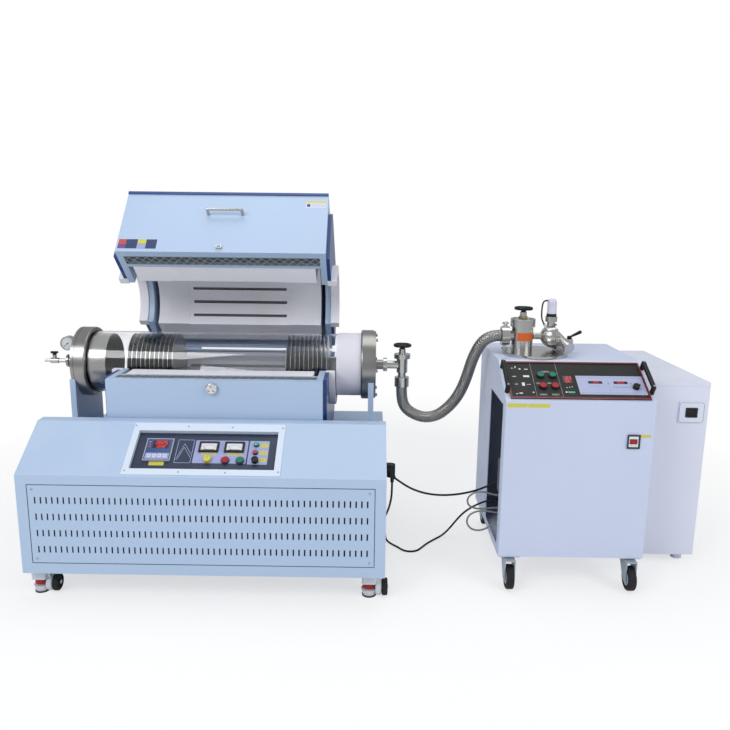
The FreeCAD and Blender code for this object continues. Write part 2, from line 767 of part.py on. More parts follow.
BODY_BACK_Y = BODY_FRONT_Y + BODY_DEPTH
AXIS_Y = BODY_FRONT_Y + BODY_DEPTH / 2
HALF_WIDTH = BODY_WIDTH / 2
HINGE_Y = BODY_BACK_Y + HINGE_BACK
HINGE_Z = PARTING_Z + PARTING_GAP / 2
WALL_INNER_X = HALF_WIDTH - END_WALL
BLOCK_HALF_LENGTH = WALL_INNER_X - BLOCK_END_GAP


def half_casing(height):
    low = PARTING_Z - height
    shell = box(-HALF_WIDTH, HALF_WIDTH, BODY_FRONT_Y, BODY_BACK_Y, low, PARTING_Z)
    hollow = box(-WALL_INNER_X, WALL_INNER_X, BODY_FRONT_Y + SHEET, BODY_BACK_Y - SHEET,
                 low + SHEET, PARTING_Z - RIM_THICK)
    mouth = box(-WALL_INNER_X, WALL_INNER_X, BODY_FRONT_Y + RIM_FRONT, BODY_BACK_Y - RIM_FRONT,
                PARTING_Z - 2 * RIM_THICK, PARTING_Z + 1)
    end_bore = rod((-HALF_WIDTH - 1, AXIS_Y, PARTING_Z), X_AXIS, END_BORE_RADIUS, BODY_WIDTH + 2)
    shell = remove(shell, hollow, mouth, end_bore)
    casing = box(-WALL_INNER_X, WALL_INNER_X, AXIS_Y - CASING_HALF_DEPTH, AXIS_Y + CASING_HALF_DEPTH,
                 PARTING_Z - CASING_HEIGHT, PARTING_Z)
    inner = CASING_HALF_DEPTH - CASING_WALL
    pocket = box(-WALL_INNER_X, WALL_INNER_X, AXIS_Y - inner, AXIS_Y + inner,
                 PARTING_Z - CASING_HEIGHT - 1, PARTING_Z + 1)
    return join(shell, casing.cut(pocket))


def half_bore(radius, reach):
    return rod((-reach, AXIS_Y, PARTING_Z), X_AXIS, radius, 2 * reach)


def heating_block(height):
    low = PARTING_Z - height + SHEET
    block = box(-BLOCK_HALF_LENGTH, BLOCK_HALF_LENGTH, AXIS_Y - BLOCK_HALF_DEPTH,
                AXIS_Y + BLOCK_HALF_DEPTH, low, PARTING_Z)
    slots = []
    for angle in ELEMENT_ANGLES:
        slot = box(-ELEMENT_HALF_LENGTH, ELEMENT_HALF_LENGTH,
                   AXIS_Y - ELEMENT_SLOT_WIDTH / 2, AXIS_Y + ELEMENT_SLOT_WIDTH / 2,
                   PARTING_Z - BORE_RADIUS - ELEMENT_SLOT_DEPTH, PARTING_Z - BORE_RADIUS + 8)
        slots.append(turned(slot, (0, AXIS_Y, PARTING_Z), X_AXIS, angle))
    return remove(block, half_bore(BORE_RADIUS, BODY_WIDTH),
                  half_bore(BORE_RADIUS + HEATER_STEP, HEATER_HALF_LENGTH), *slots)


def heating_elements():
    rods = []
    depth = BORE_RADIUS + ELEMENT_SLOT_DEPTH - ELEMENT_RADIUS - SEAT_GAP
    for angle in ELEMENT_ANGLES:
        element = rod((-ELEMENT_HALF_LENGTH + 2, AXIS_Y, PARTING_Z - depth), X_AXIS,
                      ELEMENT_RADIUS, 2 * ELEMENT_HALF_LENGTH - 4)
        rods.append(turned(element, (0, AXIS_Y, PARTING_Z), X_AXIS, angle))
    return rods


def end_collars():
    collars = []
    above = box(-BODY_WIDTH, BODY_WIDTH, 0, 2 * AXIS_Y, PARTING_Z, PARTING_Z + BODY_WIDTH)
    for start in (-HALF_WIDTH - COLLAR_REACH, HALF_WIDTH):
        ring = tube((start, AXIS_Y, PARTING_Z), X_AXIS, COLLAR_RADIUS, COLLAR_BORE_RADIUS, COLLAR_REACH)
        collars.append(ring.cut(above))
    return collars


def half_heater(height):
    return group(heating_block(height), *heating_elements(), *end_collars())


def end_panels(height):
    panels = []
    front = BODY_FRONT_Y + END_PANEL_INSET
    back = BODY_BACK_Y - END_PANEL_INSET
    low = PARTING_Z - height + END_PANEL_INSET / 2
    cut = END_PANEL_CHAMFER
    profile = [(front, PARTING_Z), (back, PARTING_Z), (back, low + cut), (back - cut, low),
               (front + cut, low), (front, low + cut)]
    bore = half_bore(END_PANEL_BORE_RADIUS, BODY_WIDTH)
    for start in (-HALF_WIDTH - END_PANEL, HALF_WIDTH):
        panels.append(polygon_x(profile, start, start + END_PANEL).cut(bore))
    return panels


def knuckle(x, length):
    return rod((x, HINGE_Y, HINGE_Z), X_AXIS, KNUCKLE_RADIUS, length)


def hinge_leaf(x, length, z0, z1):
    leaf = box(x, x + length, BODY_BACK_Y, BODY_BACK_Y + SHEET, z0, z1)
    return leaf


LOWER_HEIGHT = PARTING_Z - DECK_Z
LEAF_HEIGHT = 45.0
LATCH_Z = PARTING_Z - LATCH_DROP


def lower_shell():
    casing = half_casing(LOWER_HEIGHT)
    parts = []
    for x in (-HINGE_X, HINGE_X):
        for side in (-1, 1):
            start = x + side * (KNUCKLE_LENGTH + SEAT_GAP) - KNUCKLE_LENGTH / 2
            parts.append(knuckle(start, KNUCKLE_LENGTH))
            parts.append(hinge_leaf(start, KNUCKLE_LENGTH, PARTING_Z - LEAF_HEIGHT, PARTING_Z))
            parts.append(box(start, start + KNUCKLE_LENGTH, BODY_BACK_Y, HINGE_Y,
                             HINGE_Z - KNUCKLE_RADIUS, HINGE_Z - KNUCKLE_RADIUS / 2))
        parts.append(rod((x - 1.5 * KNUCKLE_LENGTH - 1, HINGE_Y, HINGE_Z), X_AXIS, PIN_RADIUS,
                         3 * KNUCKLE_LENGTH + 2))
    hole = rod((LATCH_X, BODY_FRONT_Y - 1, LATCH_Z), Y_AXIS, LATCH_STEM_RADIUS + RUN_GAP, 2 * SHEET)
    return join(casing, *parts).cut(hole)


def latch_knob():
    face = BODY_FRONT_Y - SEAT_GAP
    grip = rod((LATCH_X, face - LATCH_DEPTH, LATCH_Z), Y_AXIS, LATCH_RADIUS, LATCH_DEPTH)
    grip = grip.makeFillet(LATCH_DEPTH / 4, [grip.Edges[0], grip.Edges[2]])
    lobes = [rod((LATCH_X + LATCH_RADIUS / 2 * math.sin(math.radians(turn)), face - LATCH_DEPTH - 1,
                  LATCH_Z + LATCH_RADIUS / 2 * math.cos(math.radians(turn))), Y_AXIS,
                 LATCH_RADIUS / 4, LATCH_DEPTH / 2)
             for turn in (0, 120, 240)]
    stem = rod((LATCH_X, face, LATCH_Z), Y_AXIS, LATCH_STEM_RADIUS, 4 * SHEET)
    cam_y = BODY_FRONT_Y + SHEET + SEAT_GAP
    half = LATCH_STEM_RADIUS + CAM_MARGIN
    cam = box(LATCH_X - half, LATCH_X + half, cam_y, cam_y + SHEET,
              LATCH_Z - LATCH_DROP + 2 * CAM_MARGIN, LATCH_Z + half)
    return join(remove(grip, *lobes), stem, cam)


def as_lid(shape):
    mirrored = shape.mirror(V(0, 0, PARTING_Z), Z_AXIS)
    raised = moved(mirrored, dz=PARTING_GAP)
    return turned(raised, (0, HINGE_Y, HINGE_Z), X_AXIS, -LID_OPEN)


def opened(shape):
    return turned(shape, (0, HINGE_Y, HINGE_Z), X_AXIS, -LID_OPEN)


def lid_shell():
    casing = as_lid(half_casing(LID_HEIGHT))
    leaves = []
    low = PARTING_Z + PARTING_GAP
    for x in (-HINGE_X, HINGE_X):
        start = x - KNUCKLE_LENGTH / 2
        barrel = tube((start, HINGE_Y, HINGE_Z), X_AXIS, KNUCKLE_RADIUS, PIN_RADIUS + RUN_GAP,
                      KNUCKLE_LENGTH)
        leaf = hinge_leaf(start, KNUCKLE_LENGTH, low, low + LEAF_HEIGHT)
        web = box(start, start + KNUCKLE_LENGTH, BODY_BACK_Y, HINGE_Y,
                  HINGE_Z + KNUCKLE_RADIUS / 2 + 1, HINGE_Z + KNUCKLE_RADIUS)
        web = web.cut(rod((start, HINGE_Y, HINGE_Z), X_AXIS, PIN_RADIUS + RUN_GAP, KNUCKLE_LENGTH))
        leaves.append(opened(barrel.fuse(leaf).fuse(web)))
    return join(casing, *leaves)


LID_TOP_Z = PARTING_Z + PARTING_GAP + LID_HEIGHT


def lid_panels():
    nose = BODY_FRONT_Y - TOP_COVER_NOSE
    plate = box(-HALF_WIDTH, HALF_WIDTH, nose, BODY_BACK_Y, LID_TOP_Z, LID_TOP_Z + TOP_COVER)
    lip = box(-HALF_WIDTH, HALF_WIDTH, nose, BODY_FRONT_Y - SEAT_GAP,
              LID_TOP_Z + TOP_COVER - TOP_COVER_LIP, LID_TOP_Z + TOP_COVER)
    ends = [as_lid(panel) for panel in end_panels(LID_HEIGHT)]
    return group(opened(join(plate, lip)), *ends)


def lid_handle():
    low = PARTING_Z + PARTING_GAP
    bar_y = BODY_FRONT_Y - LID_HANDLE_REACH
    half = LID_HANDLE_LENGTH / 2 - LID_HANDLE_RADIUS
    z = low + LID_HANDLE_UP
    bar = rod((-half, bar_y, z), X_AXIS, LID_HANDLE_RADIUS, 2 * half)
    ends = [Part.makeSphere(LID_HANDLE_RADIUS, V(x, bar_y, z)) for x in (-half, half)]
    posts = [rod((x, bar_y, z), Y_AXIS, LID_HANDLE_RADIUS, LID_HANDLE_REACH) for x in (-half, half)]
    catch_z = low + CATCH_UP
    catch = box(LATCH_X - CATCH_HALF_WIDTH, LATCH_X + CATCH_HALF_WIDTH, BODY_FRONT_Y - CATCH_DEPTH,
                BODY_FRONT_Y, catch_z - CATCH_HALF_HEIGHT, catch_z + CATCH_HALF_HEIGHT)
    inner = CATCH_HALF_WIDTH - CATCH_WALL
    eye = box(LATCH_X - inner, LATCH_X + inner, BODY_FRONT_Y - CATCH_DEPTH - 1,
              BODY_FRONT_Y - CATCH_WALL, catch_z - CATCH_HALF_HEIGHT + CATCH_WALL,
              catch_z + CATCH_HALF_HEIGHT - CATCH_WALL)
    return group(opened(join(bar, *ends, *posts)), opened(catch.cut(eye)))


# Work tube, flanges and what is fixed to them

def on_axis(x, radius, length):
    return rod((x, AXIS_Y, PARTING_Z), X_AXIS, radius, length)


def ring_on_axis(x, radius, bore, length):
    return tube((x, AXIS_Y, PARTING_Z), X_AXIS, radius, bore, length)


TUBE_BORE = TUBE_RADIUS - TUBE_WALL
SEAL_BORE = TUBE_RADIUS + SEAT_GAP


def quartz_tube():
    return ring_on_axis(TUBE_LEFT_X, TUBE_RADIUS, TUBE_BORE, TUBE_RIGHT_X - TUBE_LEFT_X)


def tube_wrap():
    start = HALF_WIDTH + WRAP_START
    return ring_on_axis(start, SEAL_BORE + WRAP_WALL, SEAL_BORE, RIGHT_RING_X - SEAT_GAP - start)


def round_edge(x, inward):
    ring = ring_on_axis(min(x, x + inward * FLANGE_EDGE), FLANGE_RADIUS + 1,
                        FLANGE_RADIUS - FLANGE_EDGE, FLANGE_EDGE)
    core = Part.makeTorus(FLANGE_RADIUS - FLANGE_EDGE, FLANGE_EDGE,
                          V(x + inward * FLANGE_EDGE, AXIS_Y, PARTING_Z), X_AXIS)
    return ring.cut(core)


def groove(x):
    return ring_on_axis(x, FLANGE_RADIUS + 1, FLANGE_RADIUS - FLANGE_GROOVE, FLANGE_GROOVE)


def left_flange():
    end = LEFT_RING_X + LEFT_RING_WIDTH
    disc = on_axis(LEFT_RING_X, FLANGE_RADIUS, FLANGE_PLATE)
    ring = ring_on_axis(LEFT_RING_X + FLANGE_PLATE, FLANGE_RADIUS, SEAL_BORE, LEFT_RING_WIDTH - FLANGE_PLATE)
    recess = on_axis(end - SEAL_RECESS, SEAL_BORE + SEAL_RECESS, 2 * SEAL_RECESS)
    ring = remove(ring, recess, round_edge(end, -1), groove(LEFT_RING_X + FLANGE_PLATE))
    sleeve = ring_on_axis(LEFT_RING_X + FLANGE_PLATE, SLEEVE_RADIUS, SLEEVE_RADIUS - SLEEVE_WALL,
                          SLEEVE_END_X - LEFT_RING_X - FLANGE_PLATE)
    nipple = on_axis(LEFT_RING_X - LEFT_NIPPLE_LENGTH, LEFT_NIPPLE_RADIUS, LEFT_NIPPLE_LENGTH)
    port = on_axis(LEFT_RING_X - LEFT_NIPPLE_LENGTH - PORT_DISC, PORT_DISC_RADIUS, PORT_DISC)
    boss = rod((LEFT_RING_X - GAUGE_BOSS, AXIS_Y, PARTING_Z + GAUGE_RISE), X_AXIS,
               GAUGE_STEM_RADIUS + 4, GAUGE_BOSS)
    return join(disc, ring, sleeve, nipple, port, boss)


def bolt_heads(x, count, radius, size, height):
    heads = []
    for index in range(count):
        angle = 2 * math.pi * (index + 0.5) / count
        heads.append(rod((x, AXIS_Y + radius * math.sin(angle), PARTING_Z + radius * math.cos(angle)),
                         X_AXIS, size, height))
    return heads


RIGHT_PLATE_X = RIGHT_RING_X + RIGHT_RING_WIDTH
RIGHT_FACE_X = RIGHT_PLATE_X + COVER_DISC


def right_flange():
    ring = ring_on_axis(RIGHT_RING_X, FLANGE_RADIUS, SEAL_BORE, RIGHT_RING_WIDTH)
    ring = remove(ring, round_edge(RIGHT_RING_X, 1))
    disc = on_axis(RIGHT_PLATE_X, COVER_DISC_RADIUS, COVER_DISC)
    nipple = on_axis(RIGHT_FACE_X, KF_PIPE_RADIUS, RIGHT_NIPPLE_LENGTH)
    bolts = bolt_heads(RIGHT_FACE_X, FLANGE_BOLTS, FLANGE_RADIUS - BOLT_INSET, BOLT_RADIUS, BOLT_HEIGHT)
    return join(ring, disc, nipple, *bolts)


def shield_stack(first, count):
    length = (count - 1) * SHIELD_PITCH + SHIELD_THICK
    discs = [on_axis(first + index * SHIELD_PITCH, SHIELD_RADIUS, SHIELD_THICK) for index in range(count)]
    rods = [rod((first, AXIS_Y + side * SHIELD_ROD_DROP, PARTING_Z - SHIELD_ROD_DROP), X_AXIS,
                SHIELD_ROD_RADIUS, length) for side in (-1, 1)]
    foot = box(first, first + length, AXIS_Y - SHIELD_FOOT / 2, AXIS_Y + SHIELD_FOOT / 2,
               PARTING_Z - TUBE_BORE + SEAT_GAP, PARTING_Z - SHIELD_RADIUS + 1)
    return join(discs[0], *discs[1:], *rods, foot)


def heat_shields():
    return group(shield_stack(LEFT_SHIELD_X, LEFT_SHIELDS), shield_stack(RIGHT_SHIELD_X, RIGHT_SHIELDS))


def tube_support(x, outward):
    front = AXIS_Y - SUPPORT_DEPTH / 2
    back = AXIS_Y + SUPPORT_DEPTH / 2
    plate = box(x, x + SUPPORT_PLATE, front, back, DECK_Z, SUPPORT_TOP_Z)
    saddle = on_axis(x - SUPPORT_FOOT, FLANGE_RADIUS + SEAT_GAP, 3 * SUPPORT_FOOT)
    inner = x if outward > 0 else x + SUPPORT_PLATE
    outer = inner + outward * (SUPPORT_RETURN + SUPPORT_PLATE)
    low_x, high_x = sorted((inner, outer))
    folds = [box(low_x, high_x, front, front + SUPPORT_PLATE, DECK_Z, SUPPORT_TOP_Z),
             box(low_x, high_x, back - SUPPORT_PLATE, back, DECK_Z, SUPPORT_TOP_Z)]
    foot_end = inner + outward * (SUPPORT_FOOT + SUPPORT_PLATE)
    foot_low, foot_high = sorted((inner, foot_end))
    foot = box(foot_low, foot_high, front, back, DECK_Z, DECK_Z + SUPPORT_PLATE)
    return join(plate, *folds, foot).cut(saddle)


def tube_supports():
    return group(tube_support(LEFT_SUPPORT_X, -1), tube_support(RIGHT_SUPPORT_X, 1))


PORT_FACE_X = LEFT_RING_X - LEFT_NIPPLE_LENGTH - PORT_DISC


def pressure_gauge():
    z = PARTING_Z + GAUGE_RISE
    case = rod((GAUGE_X, AXIS_Y - GAUGE_DEPTH / 2, z), Y_AXIS, GAUGE_RADIUS, GAUGE_DEPTH)
    dial = rod((GAUGE_X, AXIS_Y - GAUGE_DEPTH / 2 - 1, z), Y_AXIS, GAUGE_RADIUS - GAUGE_RIM, GAUGE_RIM + 1)
    stem = rod((GAUGE_X, AXIS_Y, z), X_AXIS, GAUGE_STEM_RADIUS, LEFT_RING_X - GAUGE_BOSS - GAUGE_X)
    return join(case, stem).cut(dial)


GAS_LEFT_X = PORT_FACE_X - GAS_NECK_LENGTH - GAS_BODY_LENGTH
GAS_MID_X = GAS_LEFT_X + GAS_BODY_LENGTH / 2
BONNET_TOP_Z = PARTING_Z + BONNET_HEIGHT


def gas_valve():
    neck = on_axis(PORT_FACE_X - GAS_NECK_LENGTH, GAS_NECK_RADIUS, GAS_NECK_LENGTH)
    flare = Part.makeCone(GAS_NECK_RADIUS, PORT_DISC_RADIUS, PORT_DISC,
                          V(PORT_FACE_X - PORT_DISC, AXIS_Y, PARTING_Z), X_AXIS)
    body = on_axis(GAS_LEFT_X, GAS_BODY_RADIUS, GAS_BODY_LENGTH)
    inlet = on_axis(GAS_LEFT_X - INLET_LENGTH, INLET_RADIUS, INLET_LENGTH)
    bonnet = rod((GAS_MID_X, AXIS_Y, PARTING_Z), Z_AXIS, GAS_NECK_RADIUS, BONNET_HEIGHT)
    bore = rod((GAS_MID_X, AXIS_Y, BONNET_TOP_Z - BONNET_HEIGHT / 2), Z_AXIS,
               KNOB_STEM_RADIUS + RUN_GAP, BONNET_HEIGHT)
    return join(neck, flare, body, inlet, bonnet).cut(bore)


def gas_valve_lever():
    base = BONNET_TOP_Z + SEAT_GAP
    hub = rod((GAS_MID_X, AXIS_Y, base), Z_AXIS, GAS_NECK_RADIUS, 6)
    stem = rod((GAS_MID_X, AXIS_Y, BONNET_TOP_Z - BONNET_HEIGHT / 2 + SEAT_GAP), Z_AXIS,
               KNOB_STEM_RADIUS, BONNET_HEIGHT / 2)
    half = GAS_LEVER_LENGTH / 2
    bar = box(GAS_MID_X - half, GAS_MID_X + half, AXIS_Y - 5, AXIS_Y + 5, base + 6, base + 14)
    return join(hub, stem, bar)


CLAMP_X = RIGHT_FACE_X + RIGHT_NIPPLE_LENGTH


def angle_valve():
    clamp = on_axis(CLAMP_X, CLAMP_RADIUS, CLAMP_WIDTH)
    pipe = on_axis(CLAMP_X + CLAMP_WIDTH, ANGLE_NECK_RADIUS, ANGLE_X - CLAMP_X - CLAMP_WIDTH)
    body_z = LOWER_CLAMP_TOP_Z + ANGLE_NECK
    body = rod((ANGLE_X, AXIS_Y, body_z), Z_AXIS, ANGLE_BODY_RADIUS, ANGLE_TOP_Z - body_z)
    neck = rod((ANGLE_X, AXIS_Y, LOWER_CLAMP_TOP_Z), Z_AXIS, ANGLE_NECK_RADIUS, ANGLE_NECK)
    lower = rod((ANGLE_X, AXIS_Y, LOWER_CLAMP_TOP_Z - LOWER_CLAMP_WIDTH), Z_AXIS, LOWER_CLAMP_RADIUS,
                LOWER_CLAMP_WIDTH)
    cap = rod((ANGLE_X, AXIS_Y, ANGLE_TOP_Z - ANGLE_CAP_HEIGHT), Z_AXIS, ANGLE_CAP_RADIUS, ANGLE_CAP_HEIGHT)
    bonnet = rod((ANGLE_X, AXIS_Y, ANGLE_TOP_Z), Z_AXIS, ANGLE_BONNET_RADIUS,
                 ANGLE_BONNET_TOP_Z - ANGLE_TOP_Z)
    bore = rod((ANGLE_X, AXIS_Y, ANGLE_TOP_Z), Z_AXIS, WHEEL_STEM_RADIUS + RUN_GAP, 2 * HANDWHEEL_HEIGHT)
    return join(clamp, pipe, body, neck, lower, cap, bonnet).cut(bore)


def handwheel(x, y, seat, radius, well):
    low = seat + SEAT_GAP
    top = low + HANDWHEEL_HEIGHT
    rim_low = top - HANDWHEEL_RIM
    bevel = HANDWHEEL_BEVEL
    inner = radius - HANDWHEEL_BAND
    floor = top - HANDWHEEL_DISH
    outline = [(0, low), (HANDWHEEL_HUB_RADIUS, low), (HANDWHEEL_HUB_RADIUS, rim_low - bevel),
               (inner, rim_low), (radius - bevel, rim_low), (radius, rim_low + bevel),
               (radius, top - bevel), (radius - bevel, top), (inner, top), (inner - bevel, floor),
               (HANDWHEEL_HUB_RADIUS + bevel, floor), (HANDWHEEL_HUB_RADIUS, top), (0, top)]
    corners = [V(x + out, y, z) for out, z in outline]
    face = Part.Face(Part.makePolygon(corners + corners[:1]))
    wheel_body = face.revolve(V(x, y, 0), Z_AXIS, 360)
    grips = []
    for index in range(HANDWHEEL_GRIPS):
        angle = 2 * math.pi * index / HANDWHEEL_GRIPS
        reach = radius + GRIP_RADIUS / 2
        grips.append(rod((x + reach * math.cos(angle), y + reach * math.sin(angle), low), Z_AXIS,
                         GRIP_RADIUS, HANDWHEEL_HEIGHT))
    stem = rod((x, y, well + SEAT_GAP), Z_AXIS, WHEEL_STEM_RADIUS, low - well)
    return join(remove(wheel_body, *grips), stem)


# Pump cart

CART_BACK_Y = CART_FRONT_Y + CART_DEPTH
CART_RIGHT_X = CART_X + CART_WIDTH
RACK_X = (CART_WIDTH - RACK_WIDTH) / 2


def caster_place(index):
    x = CART_X + CASTER_INSET if index in (0, 2) else CART_RIGHT_X - CASTER_INSET
    y = CART_FRONT_Y + CASTER_INSET if index < 2 else CART_BACK_Y - CASTER_INSET
    trail = -CASTER_TRAIL if index < 2 else CASTER_TRAIL
    return x, y, y + trail


WHEEL_Z = CASTER_WHEEL_RADIUS + WHEEL_LIFT
FORK_TOP_Z = CART_BASE_Z - CASTER_PLATE - SEAT_GAP


def caster_fork(index, top):
    x, y, wheel_y = caster_place(index)
    disc = rod((x, y, top - FORK_DISC), Z_AXIS, FORK_DISC_RADIUS, FORK_DISC)
    half = CASTER_WHEEL_WIDTH / 2 + FORK_GAP
    low, high = sorted((y, wheel_y))
    bridge = box(x - half - FORK_LEG, x + half + FORK_LEG, low - FORK_DISC_RADIUS / 2,
                 high + FORK_DISC_RADIUS / 2, top - FORK_DISC, top - FORK_DISC / 2)
    parts = [bridge]
    for side in (-1, 1):
        x0 = x + side * half if side > 0 else x - half - FORK_LEG
        leg = polygon_x([(wheel_y - 12, WHEEL_Z - 12), (wheel_y + 12, WHEEL_Z - 12),
                         (high + FORK_DISC_RADIUS / 2, top - FORK_DISC),
                         (low - FORK_DISC_RADIUS / 2, top - FORK_DISC)], x0, x0 + FORK_LEG)
        parts.append(leg)
    axle = rod((x - half - FORK_LEG - 2, wheel_y, WHEEL_Z), X_AXIS, AXLE_RADIUS, 2 * (half + FORK_LEG + 2))
    return join(disc, *parts, axle)


def swivel_fork(index):
    x, y, wheel_y = caster_place(index)
    fork = caster_fork(index, FORK_TOP_Z)
    pin = rod((x, y, FORK_TOP_Z - FORK_DISC / 2), Z_AXIS, SWIVEL_PIN_RADIUS,
              FORK_DISC / 2 + CASTER_PLATE)
    return join(fork, pin)


def wheel(x, y, z, radius, width):
    tread = rod((x - width / 2, y, z), X_AXIS, radius, width)
    tread = tread.makeFillet(TREAD_CROWN, [tread.Edges[0], tread.Edges[2]])
    bore = rod((x - width, y, z), X_AXIS, AXLE_RADIUS + RUN_GAP, 2 * width)
    dish = [rod((x + side * width / 2 - DISH_DEPTH, y, z), X_AXIS, radius - DISH_RIM, 2 * DISH_DEPTH)
            for side in (-1, 1)]
    hub = rod((x - width / 2, y, z), X_AXIS, AXLE_RADIUS + HUB_WALL, width)
    return join(remove(tread, *dish), hub).cut(bore)


def cart_wheel(index):
    x, y, wheel_y = caster_place(index)
    return wheel(x, wheel_y, WHEEL_Z, CASTER_WHEEL_RADIUS, CASTER_WHEEL_WIDTH)


def cart_profile():
    return [
        (CART_FRONT_Y, CART_BASE_Z), (CART_FRONT_Y, CART_SHOULDER_Z),
        (CART_FRONT_Y + CART_SLOPE_RUN, CART_TOP_Z), (CART_BACK_Y, CART_TOP_Z),
        (CART_BACK_Y, CART_BASE_Z),
    ]


def casing_edges(shape, edge):
    box_of = edge.BoundBox
    on_front = box_of.YMax < shape.BoundBox.YMin + 0.01
    on_top = box_of.ZMin > shape.BoundBox.ZMax - 0.01
    on_slope = box_of.YLength > 1 and box_of.ZLength > 1
    across = box_of.XLength > 1
    return (on_front and not across and box_of.ZLength > 1) or on_slope or (on_top and not across)


def rack_opening():
    clear = 2.0
    x0 = CART_WIDTH / 2 - RACK_BODY_WIDTH / 2 - clear
    up0 = RACK_UP + (RACK_HEIGHT - RACK_BODY_HEIGHT) / 2 - clear
    return on_cart_slope(box(x0, x0 + RACK_BODY_WIDTH + 2 * clear, up0,
                             up0 + RACK_BODY_HEIGHT + 2 * clear, -3 * SHEET, SHEET))


def cart_cabinet():
    profile = cart_profile()
    shell = rounded(polygon_x(profile, CART_X, CART_RIGHT_X), CART_EDGE, casing_edges)
    shell = shell.cut(polygon_x(inset_polygon(profile, SHEET), CART_X + SHEET, CART_RIGHT_X - SHEET))
    door = box(CART_X - 1, CART_X + 2 * SHEET, CART_DOOR_FRONT_Y, CART_DOOR_FRONT_Y + CART_DOOR_DEPTH,
               CART_DOOR_Z, CART_DOOR_Z + CART_DOOR_HEIGHT)
    breaker = switch_body(CART_X + BREAKER_X, CART_FRONT_Y, BREAKER_Z, BREAKER_WIDTH, BREAKER_HEIGHT,
                          ROCKER_WIDTH, ROCKER_HEIGHT)
    well = switch_well(CART_X + BREAKER_X, CART_FRONT_Y, BREAKER_Z, ROCKER_WIDTH, ROCKER_HEIGHT)
    extra = [breaker]
    pins = []
    for index in range(4):
        x, y, wheel_y = caster_place(index)
        extra.append(box(x - 38, x + 38, y - 38, y + 38, CART_BASE_Z - CASTER_PLATE, CART_BASE_Z))
        if index < 2:
            pins.append(rod((x, y, CART_BASE_Z - CASTER_PLATE - 1), Z_AXIS,
                            SWIVEL_PIN_RADIUS + RUN_GAP, CASTER_PLATE + 1 + SEAT_GAP))
        else:
            extra.append(caster_fork(index, CART_BASE_Z - CASTER_PLATE))
    return remove(join(shell, *extra), door, well, rack_opening(), *pins)


def rack_hole(x, up, radius):
    return rod((x, up, -4 * PLATE), Z_AXIS, radius, 6 * PLATE)


def cart_panel():
    inside = box(RACK_X, RACK_X + RACK_WIDTH, RACK_UP, RACK_UP + RACK_HEIGHT, RACK_PLATE, 2 * RACK_PLATE)
    plate = box(RACK_X - RACK_TRIM, RACK_X + RACK_WIDTH + RACK_TRIM, RACK_UP - RACK_TRIM,
                RACK_UP + RACK_HEIGHT + RACK_TRIM, 0, RACK_PLATE + RACK_TRIM_PROUD)
    plate = rounded(plate, RACK_TRIM_PROUD, top_edges).cut(inside)
    x0 = CART_WIDTH / 2 - RACK_BODY_WIDTH / 2
    up0 = RACK_UP + (RACK_HEIGHT - RACK_BODY_HEIGHT) / 2
    body = box(x0, x0 + RACK_BODY_WIDTH, up0, up0 + RACK_BODY_HEIGHT, -RACK_BODY_DEPTH, 0)
    hollow = box(x0 + SHEET, x0 + RACK_BODY_WIDTH - SHEET, up0 + SHEET, up0 + RACK_BODY_HEIGHT - SHEET,
                 -RACK_BODY_DEPTH + SHEET, 0)
    panel = join(plate, body.cut(hollow))
    collars = [tube((x, up, RACK_PLATE / 2), Z_AXIS, BUTTON_RADIUS + SEAT_GAP + BUTTON_COLLAR,
                    BUTTON_RADIUS + SEAT_GAP, RACK_PLATE / 2 + BUTTON_HEIGHT)
               for x in CART_BUTTON_X for up in CART_BUTTON_UP]
    holes = [rack_hole(x, up, BUTTON_STEM_RADIUS + RUN_GAP) for x in CART_BUTTON_X for up in CART_BUTTON_UP]
    holes.append(rack_hole(CART_KNOB_X, CART_KNOB_UP, KNOB_STEM_RADIUS + RUN_GAP))
    return on_cart_slope(remove(join(panel, *collars), *holes))


def cart_handle(x):
    radius = CART_HANDLE_RADIUS
    low = CART_HANDLE_UP
    high = CART_HANDLE_UP + CART_HANDLE_SPAN
    legs = [rod((x, up, 0), Z_AXIS, radius, CART_HANDLE_REACH) for up in (low, high)]
    corners = [Part.makeSphere(radius, V(x, up, CART_HANDLE_REACH)) for up in (low, high)]
    bar = rod((x, low, CART_HANDLE_REACH), Y_AXIS, radius, CART_HANDLE_SPAN)
    return join(bar, *legs, *corners)


def cart_handles():
    left = cart_handle(CART_HANDLE_IN)
    right = cart_handle(CART_WIDTH - CART_HANDLE_IN)
    return on_cart_slope(group(left, right))


def switch_body(x, face, z, frame_width, frame_height, width, height):
    half = width / 2 + ROCKER_GAP + ROCKER_WALL
    frame = box(x - frame_width / 2, x + frame_width / 2, face - BREAKER_FRAME, face,
                z - frame_height / 2, z + frame_height / 2)
    body = box(x - half, x + half, face, face + ROCKER_BODY_DEPTH,
               z - height / 2 - ROCKER_GAP - ROCKER_WALL, z + height / 2 + ROCKER_GAP + ROCKER_WALL)
    return join(frame, body)


def switch_well(x, face, z, width, height):
    well = box(x - width / 2 - ROCKER_GAP, x + width / 2 + ROCKER_GAP, face - BREAKER_FRAME - 1,
               face + ROCKER_BODY_DEPTH - ROCKER_WALL, z - height / 2 - ROCKER_GAP,
               z + height / 2 + ROCKER_GAP)
    reach = width / 2 + ROCKER_GAP + ROCKER_WALL / 2
    pivot = rod((x - reach, face + ROCKER_PIVOT_DEPTH, z), X_AXIS, ROCKER_PIN_RADIUS + RUN_GAP, 2 * reach)
    return group(well, pivot)


